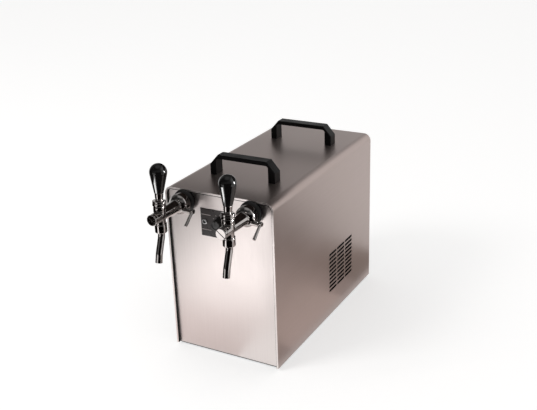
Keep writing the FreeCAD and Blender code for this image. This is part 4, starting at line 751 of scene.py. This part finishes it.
def makeBarrel(side, s):
    place = tapPlace(side)
    valve = place + Vector((0, -s["valveAt"] * mm, 0))
    start, collarEnd = housing["end"], housing["end"] + s["collar"]
    profile = soften([(0, start), (s["radius"], start), (s["radius"], collarEnd),
                      (s["radius"] - s["step"], collarEnd + s["step"]), (s["waist"], s["waistAt"]),
                      (s["chest"], s["end"]), (0, s["end"])], s["edge"])
    room = bonnet["radius"] + s["seatGap"]
    seat = turned([(0, s["neckTop"]), (room, s["neckTop"]), (room, s["seatTop"]), (0, s["seatTop"])], valve)
    trimmed = asShape(combined("barrel", turned(profile, place, "ahead"), [seat], "DIFFERENCE"))
    neck, boss = [turned(soften([(0, 0), (radius, 0), (radius, end), (0, end)], s["neckEdge"]), valve)
                  for radius, end in ((s["neck"], s["neckTop"]), (s["boss"], -s["bossDrop"]))]
    item = keepMesh(f"barrel_{side}", combined("barrel", trimmed, [neck, boss]), "case", "tap_chrome")
    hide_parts(f"tap_body_{side}")


def makeBonnets(s):
    foot = barrel["neckTop"] - tapAxisDrop
    edge = (s["radius"], foot)
    profile = soften([(s["socket"], foot), edge] + groovePoints(edge, s["groove"]) + [(s["radius"], 0)],
                     s["edge"])
    outer = arcPoints((0, 0), s["radius"], 0, s["outerLip"], 12)
    inner = arcPoints((0, 0), s["socket"], s["innerLip"], 0, 10)
    profile += outer[1:] + inner
    shapes = [turned(profile, pivotOf[f"tap_lever_{side}"], closed=True) for side in sides]
    item = keepMesh("bonnets", joined("bonnets", shapes), "case", "tap_chrome")
    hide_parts("tap_bonnets")


# The plug that closes the barrel's front, with a slot for a coin or driver.
plug = {"end": 111, "edge": 1.1, "slot": 1.6, "slotDeep": 1.2, "slotTurn": 38, "slotReach": 14, "slotPast": 1}


def makePlugs(s):
    shapes = []
    for side in sides:
        place = tapPlace(side)
        radius = barrel["chest"]
        disc = turned(soften([(0, barrel["end"]), (radius, barrel["end"]), (radius, s["end"]), (0, s["end"])],
                             s["edge"], 6), place, "ahead")
        cut = block((-s["slotReach"], -s["end"] - s["slotPast"], -s["slot"] / 2),
                    (s["slotReach"], -s["end"] + s["slotDeep"], s["slot"] / 2), place,
                    Matrix.Rotation(math.radians(s["slotTurn"]), 3, "Y"))
        shapes.append(asShape(combined("plug", disc, [cut], "DIFFERENCE")))
    item = keepMesh("plugs", joined("plugs", shapes), "case", "tap_chrome")
    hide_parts("front_plugs")


# The nut that holds the spout to the boss, grooved near its top.
spoutNut = {"bore": 6.6, "radius": 11.3, "length": 17.5, "bevel": (1.2, 1.6), "edge": 0.4,
            "groove": [(0, -2.6), (-0.6, -2.2), (-0.6, -1.6), (0, -1.2)]}


def spoutSeat(side):  # the boss's lower face
    return tapPlace(side) + Vector((0, -barrel["valveAt"] * mm, -barrel["bossDrop"] * mm))


def makeSpoutNuts(s):
    inward, upward = s["bevel"]
    profile = soften([(s["bore"], -s["length"]), (s["radius"] - inward, -s["length"]),
                      (s["radius"], -s["length"] + upward)] + groovePoints((s["radius"], 0), s["groove"]) +
                     [(s["radius"], 0), (s["bore"], 0)], s["edge"])
    shapes = [turned(profile, spoutSeat(side), closed=True) for side in sides]
    item = keepMesh("spoutNuts", joined("spoutNuts", shapes), "case", "tap_chrome")
    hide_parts("spout_nuts")


# The spout leaves the nut straight down, leans forward and straightens up a little towards its tip.
spout = {"radius": 6.5, "bore": 5, "straight": 1, "bend": 30, "steps": 10,
         "runs": [(20, 26), (12, 15)]}  # lean in degrees, and the straight length after that bend


def makeSpout(side, s):
    path = [(0, 0), (0, -spoutNut["length"]), (0, -spoutNut["length"] - s["straight"])]
    start = 0
    for target, length in s["runs"]:
        y, z = path[-1]
        turn = 1 if target > start else -1
        b = math.radians(start)
        for n in range(1, s["steps"] + 1):
            a = math.radians(start + (target - start) * n / s["steps"])
            path.append((y - turn * s["bend"] * (math.cos(b) - math.cos(a)),
                         z - turn * s["bend"] * (math.sin(a) - math.sin(b))))
        a = math.radians(target)
        path.append((path[-1][0] - length * math.sin(a), path[-1][1] - length * math.cos(a)))
        start = target
    tube = asMesh("spout", swept(path, s["radius"], s["bore"], spoutSeat(side)))
    item = keepMesh(f"spoutTube_{side}", tube, "case", "tap_chrome")
    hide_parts(f"spout_{side}")


makeRosettes(rosette)
makeBonnets(bonnet)
makePlugs(plug)
makeSpoutNuts(spoutNut)
for side in sides:
    makeHousing(side, housing)
    makeBarrel(side, barrel)
    makeSpout(side, spout)
print("taps made")


# Painted shade: a dark lining between the folded rim and the front panel stands for the shade inside the rim, and
# a thin dark strip along the panel's foot stands for the shadow line there.
rimShade = {
    "thick": 0.5,
    "topShare": 2.6,  # how much thicker it is under the top lip
    "inside": 3.5,  # from the cover's outer face
    "corner": 11.5,
    "inset": 0.2,  # behind the rim's front
    "gap": 0.1,  # ahead of the panel
    "stripHigh": 0.7,
    "stripDeep": 0.5,
}


def roundedArch(half, top, radius, foot, steps=12):  # from the left foot over the top to the right foot
    turns = [math.radians(90 * n / steps) for n in range(steps + 1)]
    left = [(-half + radius - radius * math.cos(a), top - radius + radius * math.sin(a)) for a in turns]
    return [(-half, foot)] + left + [(-x, z) for x, z in reversed(left)] + [(half, foot)]


def makeRimShade(s):
    low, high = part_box("cover")
    half, top, foot = high.x / mm - s["inside"], high.z / mm - s["inside"], low.z / mm
    front, back = low.y / mm + s["inset"], panelY / mm - s["gap"]
    mesh = bmesh.new()
    loops = []
    for inward in (0, s["thick"]):
        for y in (front, back):
            arch = roundedArch(half - inward, top - s["topShare"] * inward, s["corner"] - inward, foot)
            loops.append([mesh.verts.new((x * mm, y * mm, z * mm)) for x, z in arch])
    for a, b in ((0, 1), (1, 3), (3, 2), (2, 0)):
        for n in range(len(loops[0]) - 1):
            mesh.faces.new((loops[a][n], loops[a][n + 1], loops[b][n + 1], loops[b][n]))
    for end in (0, -1):
        mesh.faces.new([loops[n][end] for n in (0, 1, 3, 2)])
    bmesh.ops.recalc_face_normals(mesh, faces=mesh.faces)
    edge = half - s["thick"]
    # The strip along the panel's foot is painted shade, a dark line at the panel's lower edge.
    strip = block((-edge, back - s["stripDeep"], foot), (edge, back, foot + s["stripHigh"]), (0, 0, 0))
    # Both are drawn in the black rubber finish, as painted shade.
    keepMesh("rimSeal", joined("rimSeal", [mesh, strip]), "case", "feet_rubber")


# The control plate's print: two plain rules, and tick marks round the knob.
plateMarks = {
    "rules": (295, 265),  # their heights
    "ruleFrom": -40,
    "ruleLong": 20,
    "ruleHigh": 1.3,
    "ticks": 9,
    "tickFrom": 13.2,  # radii
    "tickTo": 15.6,
    "tickWide": 0.9,
    "sweep": 270,  # degrees
    "proud": 0.12,
}
paleInk = moulded("paleScreenInk", ("#a39a97", "#b0a7a4"), 0.5, 0.6, 0.01)  # screen ink: pale grey and matt


def makePrint(s):
    centre = pivotOf["thermostat_knob"]
    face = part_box("control_plate")[0].y
    shapes = []
    for height in s["rules"]:
        shapes.append(block((0, -s["proud"], -s["ruleHigh"] / 2), (s["ruleLong"], 0, s["ruleHigh"] / 2),
                            Vector((s["ruleFrom"] * mm, face, height * mm))))
    for n in range(s["ticks"]):
        turn = math.radians(s["sweep"] * (n / (s["ticks"] - 1) - 0.5))
        shapes.append(block((-s["tickWide"] / 2, -s["proud"], s["tickFrom"]),
                            (s["tickWide"] / 2, 0, s["tickTo"]), Vector((centre.x, face, centre.z)),
                            Matrix.Rotation(turn, 3, "Y")))
    item = keepMesh("platePrint", joined("platePrint", shapes), "case", "plate_print")
    item.data.materials[0] = paleInk


# painted shade inside the rim and along the panel's foot
makeRimShade(rimShade)
makePrint(plateMarks)
print("seal and print made")


# The flow levers: a shaft out of the sleeve, a thicker knuckle, and a rod that points forward and down.
flowLever = {"lean": 39, "shaft": 3, "inner": 6.5, "knuckleAt": 27.3, "knuckle": 4.5, "knuckleLong": 7,
             "edge": 0.7, "rod": 2.6, "rodEnd": 3.1, "rodLength": 32, "tip": (0.3, 2.2), "rodEdge": 0.9}


def makeFlowLever(side, s):
    pivot = pivotOf[f"flow_lever_{side}"]
    end = s["knuckleAt"] + s["knuckleLong"]
    shaft = soften([(0, s["inner"]), (s["shaft"], s["inner"]), (s["shaft"], s["knuckleAt"]),
                    (s["knuckle"], s["knuckleAt"]), (s["knuckle"], end), (0, end)], s["edge"])
    middle = Vector(((s["knuckleAt"] + end) / 2 * mm, 0, 0))
    inward, tipLong = s["tip"]
    rod = soften([(0, 0), (s["rod"], 0), (s["rodEnd"], s["rodLength"] - tipLong),
                  (s["rodEnd"] - inward, s["rodLength"]), (0, s["rodLength"])], s["rodEdge"])
    whole = combined("flowLever", turned(shaft, pivot, "across", 48),
                     [turned(rod, pivot + middle, "ahead", 40, tilt=s["lean"])])
    item = keepMesh(f"flowArm_{side}", whole, f"flow_arm_{side}", "tap_chrome")
    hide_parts(f"flow_lever_{side}")


for side in sides:
    makeFlowLever(side, flowLever)
print("flow levers made")


# Two of the lamps light only the pieces named here, so they leave the broad sheets as they are.
def turnOn(lampName, names):
    lit = bpy.data.collections.new(lampName + "Pieces")
    for name in names:
        lit.objects.link(bpy.data.objects[name])
    bpy.data.objects[lampName].light_linking.receiver_collection = lit


knobs = [f"knob_{side}" for side in sides]
turnOn("stripLamp", knobs)
turnOn("sideLamp", knobs + ["bonnets", "spoutNuts"] + [
    f"{part}_{side}" for part in ("ferrule", "cap", "housing", "spoutTube") for side in sides])
print("small lamps turned on the taps")
